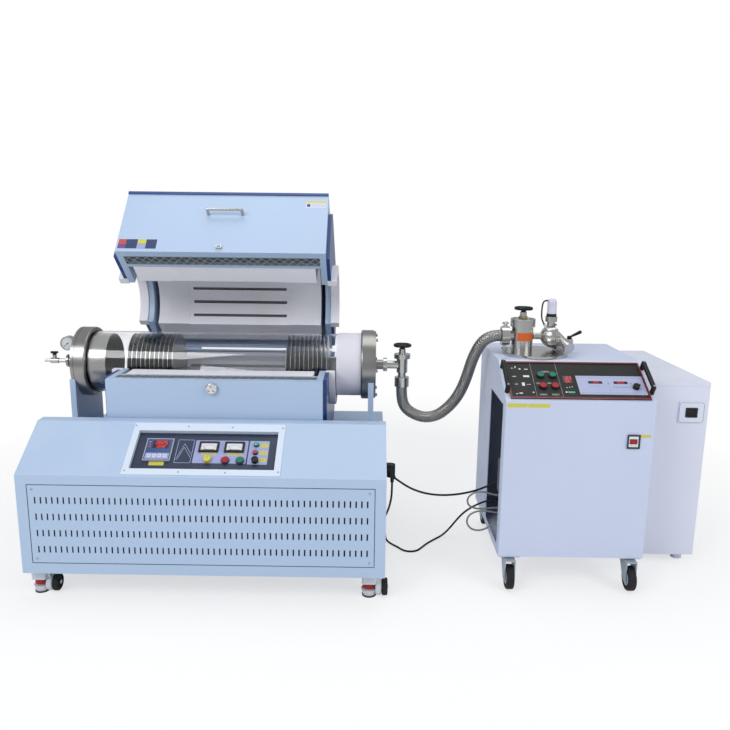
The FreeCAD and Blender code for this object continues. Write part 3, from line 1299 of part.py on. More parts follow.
def rocker(x, face, z, width, height):
    front = face - BREAKER_FRAME - ROCKER_PROUD
    pivot = face + ROCKER_PIVOT_DEPTH
    profile = [(front, z - height / 2 + ROCKER_PROUD), (front + ROCKER_PROUD, z),
               (front, z + height / 2 - ROCKER_PROUD), (pivot, z + height / 2 - 2 * ROCKER_PROUD),
               (pivot + 2 * ROCKER_PIN_RADIUS, z), (pivot, z - height / 2 + 2 * ROCKER_PROUD)]
    reach = width / 2 + ROCKER_GAP + ROCKER_WALL / 2 - SEAT_GAP
    pin = rod((x - reach, pivot, z), X_AXIS, ROCKER_PIN_RADIUS, 2 * reach)
    return join(polygon_x(profile, x - width / 2, x + width / 2), pin)


PUMP_FLOOR_Z = CART_BASE_Z + SHEET
PUMP_TOP_Z = CART_TOP_Z - SHEET
TURBO_FLANGE_RADIUS = 76.0
TURBO_RADIUS = 58.0
TURBO_LOW_Z = 560.0
TURBO_FINS = 5
BACKING_WIDTH = 220.0
BACKING_DEPTH = 330.0
BACKING_HEIGHT = 150.0
BACKING_X = 1120.0
BACKING_Y = 210.0
DRIVE_WIDTH = 90.0
DRIVE_DEPTH = 200.0
DRIVE_HEIGHT = 130.0


def turbo_pump():
    flange = rod((VALVE_PLATE_X, VALVE_PLATE_Y, PUMP_TOP_Z - 18), Z_AXIS, TURBO_FLANGE_RADIUS, 18)
    body = rod((VALVE_PLATE_X, VALVE_PLATE_Y, TURBO_LOW_Z), Z_AXIS, TURBO_RADIUS,
               PUMP_TOP_Z - 18 - TURBO_LOW_Z)
    fins = []
    for index in range(TURBO_FINS):
        z = TURBO_LOW_Z + 10 + index * 16
        fins.append(rod((VALVE_PLATE_X, VALVE_PLATE_Y, z), Z_AXIS, TURBO_RADIUS + 14, 6))
    port = rod((CART_X + 60, VALVE_PLATE_Y, TURBO_LOW_Z + 130), X_AXIS, KF_PIPE_RADIUS,
               VALVE_PLATE_X - CART_X - 60)
    port_flange = rod((CART_X + 50, VALVE_PLATE_Y, TURBO_LOW_Z + 130), X_AXIS, KF_PIPE_RADIUS + 8, 10)
    return join(flange, body, *fins, port, port_flange)


def backing_pump():
    top = PUMP_FLOOR_Z + BACKING_HEIGHT
    body = box(BACKING_X, BACKING_X + BACKING_WIDTH, BACKING_Y, BACKING_Y + BACKING_DEPTH, PUMP_FLOOR_Z, top)
    grooves = []
    for index in range(6):
        z = PUMP_FLOOR_Z + 20 + index * 22
        grooves.append(box(BACKING_X - 1, BACKING_X + 8, BACKING_Y + 20, BACKING_Y + BACKING_DEPTH - 20,
                           z, z + 10))
    return remove(body, *grooves)


def drive_unit():
    low = PUMP_FLOOR_Z + BACKING_HEIGHT
    return box(BACKING_X - 30, BACKING_X - 30 + DRIVE_WIDTH, BACKING_Y + 10, BACKING_Y + 10 + DRIVE_DEPTH,
               low, low + DRIVE_HEIGHT)


def pump_set():
    upper = swept_round(UPPER_LOOP_ROUTE, LOOP_RADIUS)
    lower = swept_round(LOWER_LOOP_ROUTE, LOOP_RADIUS)
    return group(turbo_pump(), backing_pump(), drive_unit(), upper, lower)


# Valves on the cart

PLATE_TOP_Z = CART_TOP_Z + VALVE_PLATE
VALVE_CAP_TOP_Z = VALVE_TOP_Z + VALVE_CAP_HEIGHT
VALVE_BONNET_TOP_Z = VALVE_CAP_TOP_Z + VALVE_BONNET_HEIGHT
HOSE_END_X = 1088.0


def main_valve():
    plate = rod((VALVE_PLATE_X, VALVE_PLATE_Y, CART_TOP_Z), Z_AXIS, VALVE_PLATE_RADIUS, VALVE_PLATE)
    body = rod((VALVE_X, VALVE_Y, PLATE_TOP_Z), Z_AXIS, VALVE_RADIUS, VALVE_TOP_Z - PLATE_TOP_Z)
    cap = rod((VALVE_X, VALVE_Y, VALVE_TOP_Z), Z_AXIS, VALVE_CAP_RADIUS, VALVE_CAP_HEIGHT)
    groove_z = VALVE_CAP_TOP_Z - VALVE_CAP_GROOVE
    ring = tube((VALVE_X, VALVE_Y, groove_z), Z_AXIS, VALVE_CAP_RADIUS - VALVE_CAP_STEP / 2,
                VALVE_CAP_RADIUS - VALVE_CAP_STEP, VALVE_CAP_HEIGHT)
    cap = rounded(cap, VALVE_CAP_GROOVE / 2, top_edges).cut(ring)
    bonnet = rod((VALVE_X, VALVE_Y, VALVE_CAP_TOP_Z), Z_AXIS, VALVE_BONNET_RADIUS, VALVE_BONNET_HEIGHT)
    clamp = rod((HOSE_END_X, VALVE_Y, VALVE_PORT_Z), X_AXIS, PORT_CLAMP_RADIUS, PORT_CLAMP_WIDTH)
    port = rod((HOSE_END_X + PORT_CLAMP_WIDTH, VALVE_Y, VALVE_PORT_Z), X_AXIS, KF_PIPE_RADIUS,
               VALVE_X - HOSE_END_X - PORT_CLAMP_WIDTH)
    bore = rod((VALVE_X, VALVE_Y, VALVE_CAP_TOP_Z), Z_AXIS, WHEEL_STEM_RADIUS + RUN_GAP,
               2 * VALVE_BONNET_HEIGHT)
    return join(plate, body, cap, bonnet, clamp, port).cut(bore)


BELL_END_X = BELL_X + BELL_WIDTH
STAND_X = BELL_END_X + BELL_COLLAR - 1
LEVER_SEAT_Z = LEVER_BOSS_Z + LEVER_BOSS_RADIUS


def bell_body():
    low = V(BELL_X, VALVE_Y, VALVE_PORT_Z + CROSS_RADIUS + 2)
    bend = V(BELL_X + BELL_BEND_X, VALVE_Y, VALVE_PORT_Z + BELL_BEND_RADIUS)
    high = V(BELL_END_X, VALVE_Y, VALVE_PORT_Z + BELL_RADIUS)
    start = V(BELL_X, VALVE_Y, VALVE_PORT_Z)
    end = V(BELL_END_X, VALVE_Y, VALVE_PORT_Z)
    outline = Part.Wire([Part.makeLine(start, low), Part.Arc(low, bend, high).toShape(),
                         Part.makeLine(high, end), Part.makeLine(end, start)])
    return Part.Face(outline).revolve(start, X_AXIS, 360)


def side_pipe():
    start = V(*SIDE_PIPE_START)
    end = V(*SIDE_PIPE_END)
    along = end - start
    pipe = Part.makeCylinder(SIDE_PIPE_RADIUS, along.Length, start, along)
    cap = Part.makeCylinder(SIDE_CAP_RADIUS, SIDE_CAP, end, along)
    return pipe.fuse(cap)


def lead_gland(point, following, length):
    start = V(*point)
    inward = (start - V(*following)).normalize()
    return Part.makeCylinder(LEAD_GLAND_RADIUS, length, start, inward)


def valve_manifold():
    start = VALVE_X + VALVE_RADIUS + SEAT_GAP
    cross = rod((start, VALVE_Y, VALVE_PORT_Z), X_AXIS, CROSS_RADIUS, BELL_X - start)
    collar = rod((BELL_END_X, VALVE_Y, VALVE_PORT_Z), X_AXIS, BELL_COLLAR_RADIUS, BELL_COLLAR)
    stand = box(STAND_X, STAND_X + STAND_WIDTH, VALVE_Y - STAND_DEPTH / 2, VALVE_Y + STAND_DEPTH / 2,
                PLATE_TOP_Z + SEAT_GAP, STAND_TOP_Z)
    stand = rounded(stand, STAND_WIDTH / 4, top_edges)
    lever_boss = rod((STAND_X, VALVE_Y, LEVER_BOSS_Z), X_AXIS, LEVER_BOSS_RADIUS,
                     LEVER_X + LEVER_BOSS_RADIUS - STAND_X)
    neck = rod((GAUGE_HEAD_X, VALVE_Y, VALVE_PORT_Z), Z_AXIS, GAUGE_NECK_RADIUS, GAUGE_SEAT_Z - VALVE_PORT_Z)
    gland = lead_gland(LEAD_ROUTE[-1], LEAD_ROUTE[-2], 3 * LEAD_GLAND_RADIUS)
    bore = rod((LEVER_X, VALVE_Y, LEVER_BOSS_Z), Z_AXIS, WHEEL_STEM_RADIUS + RUN_GAP, 2 * LEVER_BOSS_RADIUS)
    return join(cross, bell_body(), collar, stand, side_pipe(), lever_boss, neck, gland).cut(bore)


def manifold_lever():
    base = LEVER_SEAT_Z + SEAT_GAP
    hub = rod((LEVER_X, VALVE_Y, base), Z_AXIS, LEVER_HUB_RADIUS, LEVER_HUB_RADIUS)
    stem = rod((LEVER_X, VALVE_Y, LEVER_BOSS_Z + SEAT_GAP), Z_AXIS, WHEEL_STEM_RADIUS, LEVER_BOSS_RADIUS)
    middle = (LEVER_X, VALVE_Y, base + LEVER_HUB_RADIUS / 2)
    arm = Part.makeCone(LEVER_RADIUS / 2, LEVER_RADIUS, LEVER_LENGTH - LEVER_RADIUS, V(*middle), X_AXIS)
    end = Part.makeSphere(LEVER_RADIUS, V(LEVER_X + LEVER_LENGTH - LEVER_RADIUS, VALVE_Y, middle[2]))
    return join(hub, stem, turned(arm.fuse(end), middle, Y_AXIS, -LEVER_RISE))


def gauge_head():
    seat = GAUGE_SEAT_Z + SEAT_GAP
    nut = rod((GAUGE_HEAD_X, VALVE_Y, seat), Z_AXIS, GAUGE_NUT_RADIUS, GAUGE_NUT_HEIGHT)
    body = rod((GAUGE_HEAD_X, VALVE_Y, seat + GAUGE_NUT_HEIGHT), Z_AXIS, GAUGE_HEAD_RADIUS, GAUGE_HEAD_HEIGHT)
    body = body.makeFillet(GAUGE_DOME, [body.Edges[0]])
    gland = lead_gland(LEAD_ROUTE[0], LEAD_ROUTE[1], GAUGE_HEAD_RADIUS)
    return join(nut, body, gland)


# Chiller

CHILLER_RIGHT_X = CHILLER_X + CHILLER_WIDTH
CHILLER_BACK_Y = CHILLER_FRONT_Y + CHILLER_DEPTH


def chiller_case():
    seam_z = CHILLER_TOP_Z - CHILLER_COVER
    body = box(CHILLER_X, CHILLER_RIGHT_X, CHILLER_FRONT_Y, CHILLER_BACK_Y, CHILLER_BASE_Z, CHILLER_TOP_Z)
    hollow = box(CHILLER_X + SHEET, CHILLER_RIGHT_X - SHEET, CHILLER_FRONT_Y + SHEET,
                 CHILLER_BACK_Y - SHEET, CHILLER_BASE_Z + SHEET, CHILLER_TOP_Z - SHEET)
    groove = box(CHILLER_X - 1, CHILLER_RIGHT_X + 1, CHILLER_FRONT_Y - 1, CHILLER_BACK_Y + 1,
                 seam_z - CHILLER_SEAM, seam_z)
    core = box(CHILLER_X + 1.5, CHILLER_RIGHT_X - 1.5, CHILLER_FRONT_Y + 1.5, CHILLER_BACK_Y - 1.5,
               seam_z - CHILLER_SEAM, seam_z)
    x = CHILLER_X + SWITCH_X
    frame = switch_body(x, CHILLER_FRONT_Y, SWITCH_Z, SWITCH_WIDTH, SWITCH_HEIGHT,
                        SWITCH_ROCKER_WIDTH, SWITCH_ROCKER_HEIGHT)
    well = switch_well(x, CHILLER_FRONT_Y, SWITCH_Z, SWITCH_ROCKER_WIDTH, SWITCH_ROCKER_HEIGHT)
    feet = []
    for foot_x in (CHILLER_X + CHILLER_FOOT_INSET, CHILLER_RIGHT_X - CHILLER_FOOT_INSET):
        for foot_y in (CHILLER_FRONT_Y + CHILLER_FOOT_INSET, CHILLER_BACK_Y - CHILLER_FOOT_INSET):
            feet.append(rod((foot_x, foot_y, 0), Z_AXIS, CHILLER_FOOT_RADIUS, CHILLER_BASE_Z))
    return join(body.cut(groove.cut(core)).cut(hollow), frame, *feet).cut(well)


# Levelling casters under the furnace cabinet

def leveller_places():
    back_y = CAB_DEPTH - LEVELLER_BACK
    return [(x, y) for y in (LEVELLER_FRONT_Y, back_y) for x in LEVELLER_X]


FURNACE_WHEEL_Z = FURNACE_WHEEL_RADIUS + WHEEL_LIFT
WHEEL_OFFSET = CHEEK_END + FURNACE_WHEEL_WIDTH / 2 + 2 * SEAT_GAP


def leveller(x, y):
    half_w = LEVELLER_WIDTH / 2
    half_d = LEVELLER_DEPTH / 2
    plate_z = CAB_BASE_Z - LEVELLER_PLATE
    block = box(x - half_w, x + half_w, y - half_d, y + half_d, LEVELLER_BLOCK_Z, plate_z)
    block = rounded(block, half_w / 3, upright_edges)
    plate = box(x - half_w, x + CHEEK_END, y - half_d, y + half_d, plate_z, CAB_BASE_Z)
    screw = rod((x, y, 0), Z_AXIS, SCREW_RADIUS, plate_z)
    pad = rod((x, y, 0), Z_AXIS, PAD_RADIUS, PAD_HEIGHT)
    bowl = Part.makeCone(BOWL_LOW_RADIUS, BOWL_RADIUS, BOWL_TOP_Z - PAD_HEIGHT, V(x, y, PAD_HEIGHT), Z_AXIS)
    dial = rod((x, y, DIAL_LOW_Z), Z_AXIS, DIAL_RADIUS, DIAL_HEIGHT)
    cheek = rod((x + CHEEK_START, y, FURNACE_WHEEL_Z), X_AXIS, CHEEK_RADIUS, CHEEK_END - CHEEK_START)
    cheek = cheek.makeFillet(CHEEK_EDGE, [cheek.Edges[0], cheek.Edges[2]])
    web = box(x + CHEEK_START, x + CHEEK_END - CHEEK_EDGE, y - half_d / 2, y + half_d / 2,
              FURNACE_WHEEL_Z, plate_z + 1)
    far = x + WHEEL_OFFSET + FURNACE_WHEEL_WIDTH / 2
    axle = rod((x + CHEEK_START, y, FURNACE_WHEEL_Z), X_AXIS, AXLE_RADIUS, far + 1 - x - CHEEK_START)
    head = rod((far + SEAT_GAP, y, FURNACE_WHEEL_Z), X_AXIS, AXLE_RADIUS + 2, 2)
    return join(block, plate, screw, pad, bowl, dial, cheek, web, axle, head)


def levelling_casters():
    return group(*[leveller(x, y) for x, y in leveller_places()])


def furnace_wheels(y_index):
    places = leveller_places()[y_index:y_index + 2]
    return group(*[wheel(x + WHEEL_OFFSET, y, FURNACE_WHEEL_Z, FURNACE_WHEEL_RADIUS, FURNACE_WHEEL_WIDTH)
                   for x, y in places])


# Connector on the cabinet's right side, with both cables

def side_connector():
    x = CAB_WIDTH / 2
    flange = box(x, x + 4, CONNECTOR_Y - 26, CONNECTOR_Y + 26, CONNECTOR_Z - 26, CONNECTOR_Z + 26)
    barrel = rod((x, CONNECTOR_Y, CONNECTOR_Z), X_AXIS, CONNECTOR_RADIUS, 24)
    drop = rod((x + 24, CONNECTOR_Y, CONNECTOR_Z + 14), Z_AXIS * -1, CONNECTOR_RADIUS - 3, 50)
    start = V(*POWER_ROUTE[0])
    power_end = rod(start, Z_AXIS, CABLE_RADIUS + 3, CONNECTOR_Z - start.z)
    first = V(*SIGNAL_ROUTE[0])
    inward = (first - V(*SIGNAL_ROUTE[1])).normalize()
    signal_end = Part.makeCylinder(CABLE_RADIUS + 3, 30, first, inward)
    return join(flange, barrel, drop, power_end, signal_end)


def build():
    slope_low = PANEL_FACE
    nodes = {
        "base_cabinet": base_cabinet(),
        "vent_panel": group(vent_panel(), rear_cover()),
        "power_transformer": power_transformer(),
        "levelling_casters": levelling_casters(),
        "front_caster_wheels": furnace_wheels(0),
        "rear_caster_wheels": furnace_wheels(2),
        "control_bezel": control_bezel(),
        "control_plate": control_plate(),
        "temperature_controller": temperature_controller(),
        "panel_indicators": panel_indicators(),
        "selector_yellow": on_console(knob(YELLOW_KNOB_X, CONTROL_ROW_UP, slope_low)),
        "selector_black": on_console(knob(BLACK_KNOB_X, CONTROL_ROW_UP, slope_low)),
        "button_red": on_console(push_button(RED_BUTTON_X, CONTROL_ROW_UP, slope_low, PLATE)),
        "button_green": on_console(push_button(GREEN_BUTTON_X, CONTROL_ROW_UP, slope_low, PLATE)),
        "lower_shell": lower_shell(),
        "lower_end_panels": group(*end_panels(LOWER_HEIGHT)),
        "lower_heater": half_heater(LOWER_HEIGHT),
        "latch_knob": latch_knob(),
        "lid_shell": lid_shell(),
        "lid_panels": lid_panels(),
        "lid_heater": as_lid(half_heater(LID_HEIGHT)),
        "lid_handle": lid_handle(),
        "quartz_tube": quartz_tube(),
        "tube_wrap": tube_wrap(),
        "left_flange": left_flange(),
        "right_flange": right_flange(),
        "heat_shields": heat_shields(),
        "tube_supports": tube_supports(),
        "pressure_gauge": pressure_gauge(),
        "gas_valve": gas_valve(),
        "gas_valve_lever": gas_valve_lever(),
        "angle_valve": angle_valve(),
        "angle_handwheel": handwheel(ANGLE_X, AXIS_Y, ANGLE_BONNET_TOP_Z, ANGLE_WHEEL_RADIUS, ANGLE_TOP_Z),
        "side_connector": side_connector(),
        "cart_cabinet": cart_cabinet(),
        "cart_panel": cart_panel(),
        "cart_handles": cart_handles(),
        "cart_knob": on_cart_slope(knob(CART_KNOB_X, CART_KNOB_UP, RACK_PLATE)),
        "breaker_rocker": rocker(CART_X + BREAKER_X, CART_FRONT_Y, BREAKER_Z, ROCKER_WIDTH, ROCKER_HEIGHT),
        "pump_set": pump_set(),
        "main_valve": main_valve(),
        "main_handwheel": handwheel(VALVE_X, VALVE_Y, VALVE_BONNET_TOP_Z, MAIN_WHEEL_RADIUS, VALVE_CAP_TOP_Z),
        "valve_manifold": valve_manifold(),
        "manifold_lever": manifold_lever(),
        "gauge_head": gauge_head(),
        "cart_fork_left": swivel_fork(0),
        "cart_fork_right": swivel_fork(1),
        "cart_wheel_left": cart_wheel(0),
        "cart_wheel_right": cart_wheel(1),
        "cart_rear_wheels": group(cart_wheel(2), cart_wheel(3)),
        "chiller_case": chiller_case(),
        "chiller_rocker": rocker(CHILLER_X + SWITCH_X, CHILLER_FRONT_Y, SWITCH_Z, SWITCH_ROCKER_WIDTH,
                                 SWITCH_ROCKER_HEIGHT),
        "vacuum_hose": free_cord("vacuum_hose", HOSE_ROUTE, HOSE_RADIUS),
        "signal_cable": free_cord("signal_cable", SIGNAL_ROUTE, CABLE_RADIUS),
        "power_cable": free_cord("power_cable", POWER_ROUTE, CABLE_RADIUS),
        "gauge_lead": free_cord("gauge_lead", LEAD_ROUTE, LEAD_RADIUS),
    }
    names = ("cart_button_start_a", "cart_button_stop_a", "cart_button_start_b", "cart_button_stop_b")
    places = [(x, up) for x in CART_BUTTON_X for up in CART_BUTTON_UP]
    for name, (x, up) in zip(names, places):
        nodes[name] = on_cart_slope(push_button(x, up, RACK_PLATE, RACK_PLATE))
    return nodes


CORDS = ("vacuum_hose", "signal_cable", "power_cable", "gauge_lead")


def origin_shift(nodes):
    whole = FreeCAD.BoundBox()
    for name, shape in nodes.items():
        if name not in CORDS:
            whole.add(shape.BoundBox)
    return V(-(whole.XMin + whole.XMax) / 2, -(whole.YMin + whole.YMax) / 2, 0)


NODES = build()
SHIFT = origin_shift(NODES)
os.makedirs("parts", exist_ok=True)
for node, shape in NODES.items():
    shape.translate(SHIFT)
    shape.exportStep("parts/" + node + ".step")
print("origin shift", SHIFT)
print("nodes", len(NODES))
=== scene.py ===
import math
import random

import bmesh
import bpy
from mathutils import Matrix, Vector


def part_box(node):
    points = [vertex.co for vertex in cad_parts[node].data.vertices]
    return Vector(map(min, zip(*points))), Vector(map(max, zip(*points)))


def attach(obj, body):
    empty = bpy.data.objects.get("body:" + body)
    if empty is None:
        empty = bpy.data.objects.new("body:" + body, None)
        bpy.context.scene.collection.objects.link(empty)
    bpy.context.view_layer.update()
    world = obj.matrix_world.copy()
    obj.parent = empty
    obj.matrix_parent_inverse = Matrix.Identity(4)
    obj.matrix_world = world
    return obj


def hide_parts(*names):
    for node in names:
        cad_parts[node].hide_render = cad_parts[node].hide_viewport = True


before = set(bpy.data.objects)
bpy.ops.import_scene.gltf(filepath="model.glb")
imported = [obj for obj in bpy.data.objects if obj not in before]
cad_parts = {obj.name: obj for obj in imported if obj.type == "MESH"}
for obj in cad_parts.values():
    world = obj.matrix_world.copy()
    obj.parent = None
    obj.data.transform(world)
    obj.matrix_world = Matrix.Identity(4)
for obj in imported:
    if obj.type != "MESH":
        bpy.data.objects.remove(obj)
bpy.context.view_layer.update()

# Places are given in millimetres as the furnace's maker measures them: X from the
# middle of the chamber, Y from the front of the cabinet, Z from the floor.
CABINET_LOW, CABINET_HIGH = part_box("base_cabinet")
DATUM = Vector(((CABINET_LOW.x + CABINET_HIGH.x) / 2, CABINET_LOW.y, 0.0))

# Sloped fronts: the control console, the cart's rack panel and the open lid
CONSOLE_FOOT_Z = 467.0
CONSOLE_TILT = math.atan2(136.0, 199.0)
CART_FOOT = (1052.0, 136.0, 715.0)
CART_TILT = math.atan2(111.0, 184.5)
LID_AXIS = (934.0, 748.5)
LID_TILT = math.radians(42.0)
LID_ACROSS = Vector((1, 0, 0))
LID_FORWARD = Vector((0, -math.cos(LID_TILT), math.sin(LID_TILT)))
LID_UPWARD = Vector((0, math.sin(LID_TILT), math.cos(LID_TILT)))
LID_FRONT_REACH = 682.0
LID_RIM_RISE = 0.5

# Bores of the chamber's two halves, by their axes, and the element slots behind the bores' skin
LOWER_BORE_AXIS = (0, 587, 748)
LID_BORE_REACH = 347.0
SLOT_RADII = (0.1556, 0.166)
SLOT_HALF_LENGTH = 0.206

# Camera, by its place, its angles in radians and its lens for the square picture
CAMERA_PLACE = (570.7, -2267.6, 1325.1)
CAMERA_PITCH, CAMERA_YAW, CAMERA_ROLL = 0.2005, -0.0062, 0.0114
SENSOR_WIDTH = 36
LENS = 704.96 / 730 * SENSOR_WIDTH


# Places

def at(x, y, z):
    return DATUM + Vector((x, y, z)) / 1000


def across(x, y, lift=0.0):
    """A move within a face's own place, in millimetres."""
    return Matrix.Translation(Vector((x, y, lift)) / 1000)


def turned(degrees, axis):
    return Matrix.Rotation(math.radians(degrees), 4, axis)


def upright_frame(x, y, z):
    """Place on a level face, Z up."""
    return Matrix.Translation(at(x, y, z))


def front_frame(x, z, y=0.0):
    """Place on an upright front face: X across, Y up, Z out of the face towards the operator."""
    return upright_frame(x, y, z) @ turned(90, "X")


def console_frame(x, up, lift=0.0):
    """Place on the console slope: X across, Y up the slope, Z out of it."""
    return upright_frame(0, 0, CONSOLE_FOOT_Z) @ Matrix.Rotation(CONSOLE_TILT, 4, "X") @ across(x, up, lift)


def cart_slope_frame(x, up, lift=0.0):
    """Place on the cart's sloping front, x from the cart's left side."""
    return upright_frame(*CART_FOOT) @ Matrix.Rotation(CART_TILT, 4, "X") @ across(x, up, lift)


def cart_front_frame(x, z, lift=0.0):
    """Place on the cart's upright front, x from its left side."""
    return front_frame(CART_FOOT[0] + x, z, CART_FOOT[1]) @ across(0, 0, lift)


def lid_spot(x, reach, rise):
    """A point of the open lid: reach from the hinge to the lid's front, rise from the parting."""
    return at(x, *LID_AXIS) + (LID_FORWARD * reach + LID_UPWARD * rise) / 1000


def placed(spot, *axes):
    return Matrix.Translation(spot) @ Matrix(axes).transposed().to_4x4()


def lid_front_frame(x, rise, lift=0.0):
    """Place on the open lid's front face: X across, Y away from the rim, Z out of the face."""
    return placed(lid_spot(x, LID_FRONT_REACH + lift, rise), LID_ACROSS, LID_UPWARD, LID_FORWARD)


def lid_rim_frame(x, reach, lift=0.0):
    """Place on the open lid's rim: X across, Y towards the lid's front, Z out of the rim."""
    return placed(lid_spot(x, reach, LID_RIM_RISE - lift), LID_ACROSS, LID_FORWARD, -LID_UPWARD)


# Shader trees

def feed(tree, node, values):
    """Give a node's inputs their values: a socket is linked, a number or colour is set."""
    for place, value in values.items():
        socket = node.inputs[place]
        if isinstance(value, bpy.types.NodeSocket):
            tree.links.new(value, socket)
        elif socket.type == "RGBA":
            socket.default_value = (*value, 1)
        else:
            socket.default_value = value


def add_node(tree, kind, values=None, **settings):
    node = tree.nodes.new("ShaderNode" + kind)
    for setting, value in settings.items():
        setattr(node, setting, value)
    feed(tree, node, values or {})
    return node


def noise(tree, vector, scale, detail=3.0):
    return add_node(tree, "TexNoise", {"Vector": vector, "Scale": scale, "Detail": detail}).outputs["Fac"]


def maths(tree, operation, first, second=0.0, clamp=False):
    return add_node(tree, "Math", {0: first, 1: second}, operation=operation, use_clamp=clamp).outputs[0]


def vector_maths(tree, operation, *vectors):
    node = add_node(tree, "VectorMath", dict(enumerate(vectors)), operation=operation)
    return node.outputs["Value" if operation in ("LENGTH", "DOT_PRODUCT") else "Vector"]


def ramp(tree, value, low, high, to_low=0.0, to_high=1.0):
    limits = {"From Min": low, "From Max": high, "To Min": to_low, "To Max": to_high}
    return add_node(tree, "MapRange", {"Value": value, **limits}).outputs[0]


def blend_colour(tree, mask, first, second):
    return add_node(tree, "Mix", {0: mask, 6: first, 7: second}, data_type="RGBA").outputs[2]


def bump(tree, height, distance, strength):
    node = add_node(tree, "Bump", {"Height": height, "Distance": distance, "Strength": strength})
    return node.outputs["Normal"]


def darker(colour, share):
    return tuple(part * share for part in colour)


# Camera and studio

def in_scene(name, data):
    piece = bpy.data.objects.new(name, data)
    bpy.context.scene.collection.objects.link(piece)
    return piece


def photo_camera():
    """The photograph's own viewpoint, 35 mm lens, square frame."""
    pitch, yaw, roll = CAMERA_PITCH, CAMERA_YAW, CAMERA_ROLL
    forward = Vector((math.sin(yaw) * math.cos(pitch), math.cos(yaw) * math.cos(pitch), -math.sin(pitch)))
    level_right = Vector((math.cos(yaw), -math.sin(yaw), 0))
    level_up = Vector((math.sin(yaw) * math.sin(pitch), math.cos(yaw) * math.sin(pitch), math.cos(pitch)))
    right = level_right * math.cos(roll) + level_up * math.sin(roll)
    up = level_up * math.cos(roll) - level_right * math.sin(roll)
    data = bpy.data.cameras.new("photo_camera")
    data.lens = LENS
    data.sensor_width = SENSOR_WIDTH
    data.sensor_fit = "HORIZONTAL"
    data.clip_end = 200
    camera = in_scene("photo_camera", data)
    camera.matrix_world = placed(at(*CAMERA_PLACE), right, up, -forward)
    bpy.context.scene.camera = camera


def soft_box(name, spot, aim, width, height, watts):
    data = bpy.data.lights.new(name, "AREA")
    data.shape = "RECTANGLE"
    data.size = width
    data.size_y = height
    data.energy = watts
    lamp = in_scene(name, data)
    lamp.location = spot
    lamp.rotation_euler = (Vector(aim) - Vector(spot)).to_track_quat("-Z", "Y").to_euler()


def white_seen(tree):
    """1 for rays that should meet a plain white background: camera and transmission rays."""
    rays = add_node(tree, "LightPath").outputs
    return maths(tree, "MAXIMUM", rays["Is Camera Ray"], rays["Is Transmission Ray"])


def studio_world():
    world = bpy.data.worlds.new("studio")
    bpy.context.scene.world = world
    world.use_nodes = True
    tree = world.node_tree
    tree.nodes.clear()
    fill = add_node(tree, "Background", {"Color": (0.93, 0.96, 1.0), "Strength": 0.52})
    white = add_node(tree, "Background", {"Color": (1, 1, 1), "Strength": 1.0})
    mix = add_node(tree, "MixShader", {0: white_seen(tree), 1: fill.outputs[0], 2: white.outputs[0]})
    add_node(tree, "OutputWorld", {0: mix.outputs[0]})


def studio_floor():
    """A pale floor that keeps the shadow near the furnace and fades into the white background."""
    mesh = bpy.data.meshes.new("studio_floor")
    reach = 60.0
    corners = [(-reach, -reach, 0), (reach, -reach, 0), (reach, reach, 0), (-reach, reach, 0)]
    mesh.from_pydata(corners, [], [(0, 1, 2, 3)])
    material = bpy.data.materials.new("studio_floor")
    material.use_nodes = True
    tree = material.node_tree
    tree.nodes.clear()
    away = vector_maths(tree, "LENGTH", add_node(tree, "TexCoord").outputs["Object"])
    paper = add_node(tree, "BsdfDiffuse", {"Color": (0.93, 0.93, 0.93)})
    share = maths(tree, "MULTIPLY", ramp(tree, away, 1.5, 2.6, 0.62, 1.0), white_seen(tree))
    glow = add_node(tree, "Emission")
    mix = add_node(tree, "MixShader", {0: share, 1: paper.outputs[0], 2: glow.outputs[0]})
    add_node(tree, "OutputMaterial", {0: mix.outputs[0]})
    mesh.materials.append(material)
    in_scene("studio_floor", mesh)


def studio():
    bpy.context.scene.view_settings.view_transform = "Standard"
    studio_world()
    studio_floor()
    soft_box("key_light", (-2.6, -3.4, 3.4), (0, 0, 0.6), 2.4, 2.0, 92)
    soft_box("side_light", (3.2, -2.6, 2.6), (0.3, 0, 0.5), 1.8, 1.8, 48)
    soft_box("top_light", (0.0, 0.4, 4.0), (0, 0.1, 0), 3.4, 2.4, 44)


# Shared surface effects: each is a group built once, giving masks and normals

def effect(name, inputs, outputs, build):
    """A shader group with a Vector input and the named ones; build gives each output its socket."""
    tree = bpy.data.node_groups.new(name, "ShaderNodeTree")
    for label, value in {"Vector": (0, 0, 0), **inputs}.items():
        kind = "NodeSocketVector" if isinstance(value, tuple) else "NodeSocketFloat"
        tree.interface.new_socket(label, in_out="INPUT", socket_type=kind).default_value = value
    for label in outputs:
        kind = "NodeSocketVector" if label == "Normal" else "NodeSocketFloat"
        tree.interface.new_socket(label, in_out="OUTPUT", socket_type=kind)
    given = tree.nodes.new("NodeGroupInput").outputs
    feed(tree, tree.nodes.new("NodeGroupOutput"), build(tree, given))
    return tree


def powder_coat(tree, given):
    """Orange peel of a baked powder coat, with a slow uneven tone."""
    fine = noise(tree, given["Vector"], given["Peel"], 2.0)
    slow = noise(tree, given["Vector"], 2.2, 4.0)
    return {"Normal": bump(tree, fine, 0.0002, 0.35), "Tone": ramp(tree, slow, 0.3, 0.7)}


def edge_wear_and_highlight(tree, given):
    """Mask of sharp edges, broken up in patches: partly scuffing of the coat by handling, partly a painted
    edge highlight.
    """
    rounded = add_node(tree, "Bevel", {"Radius": 0.0025}, samples=4)
    surface = add_node(tree, "NewGeometry")
    agree = vector_maths(tree, "DOT_PRODUCT", rounded.outputs[0], surface.outputs["Normal"])
    patchy = ramp(tree, noise(tree, given["Vector"], 45.0, 5.0), 0.42, 0.62, 0.15, 1.0)
    return {"Mask": maths(tree, "MULTIPLY", ramp(tree, agree, 0.995, 0.86), patchy, True)}


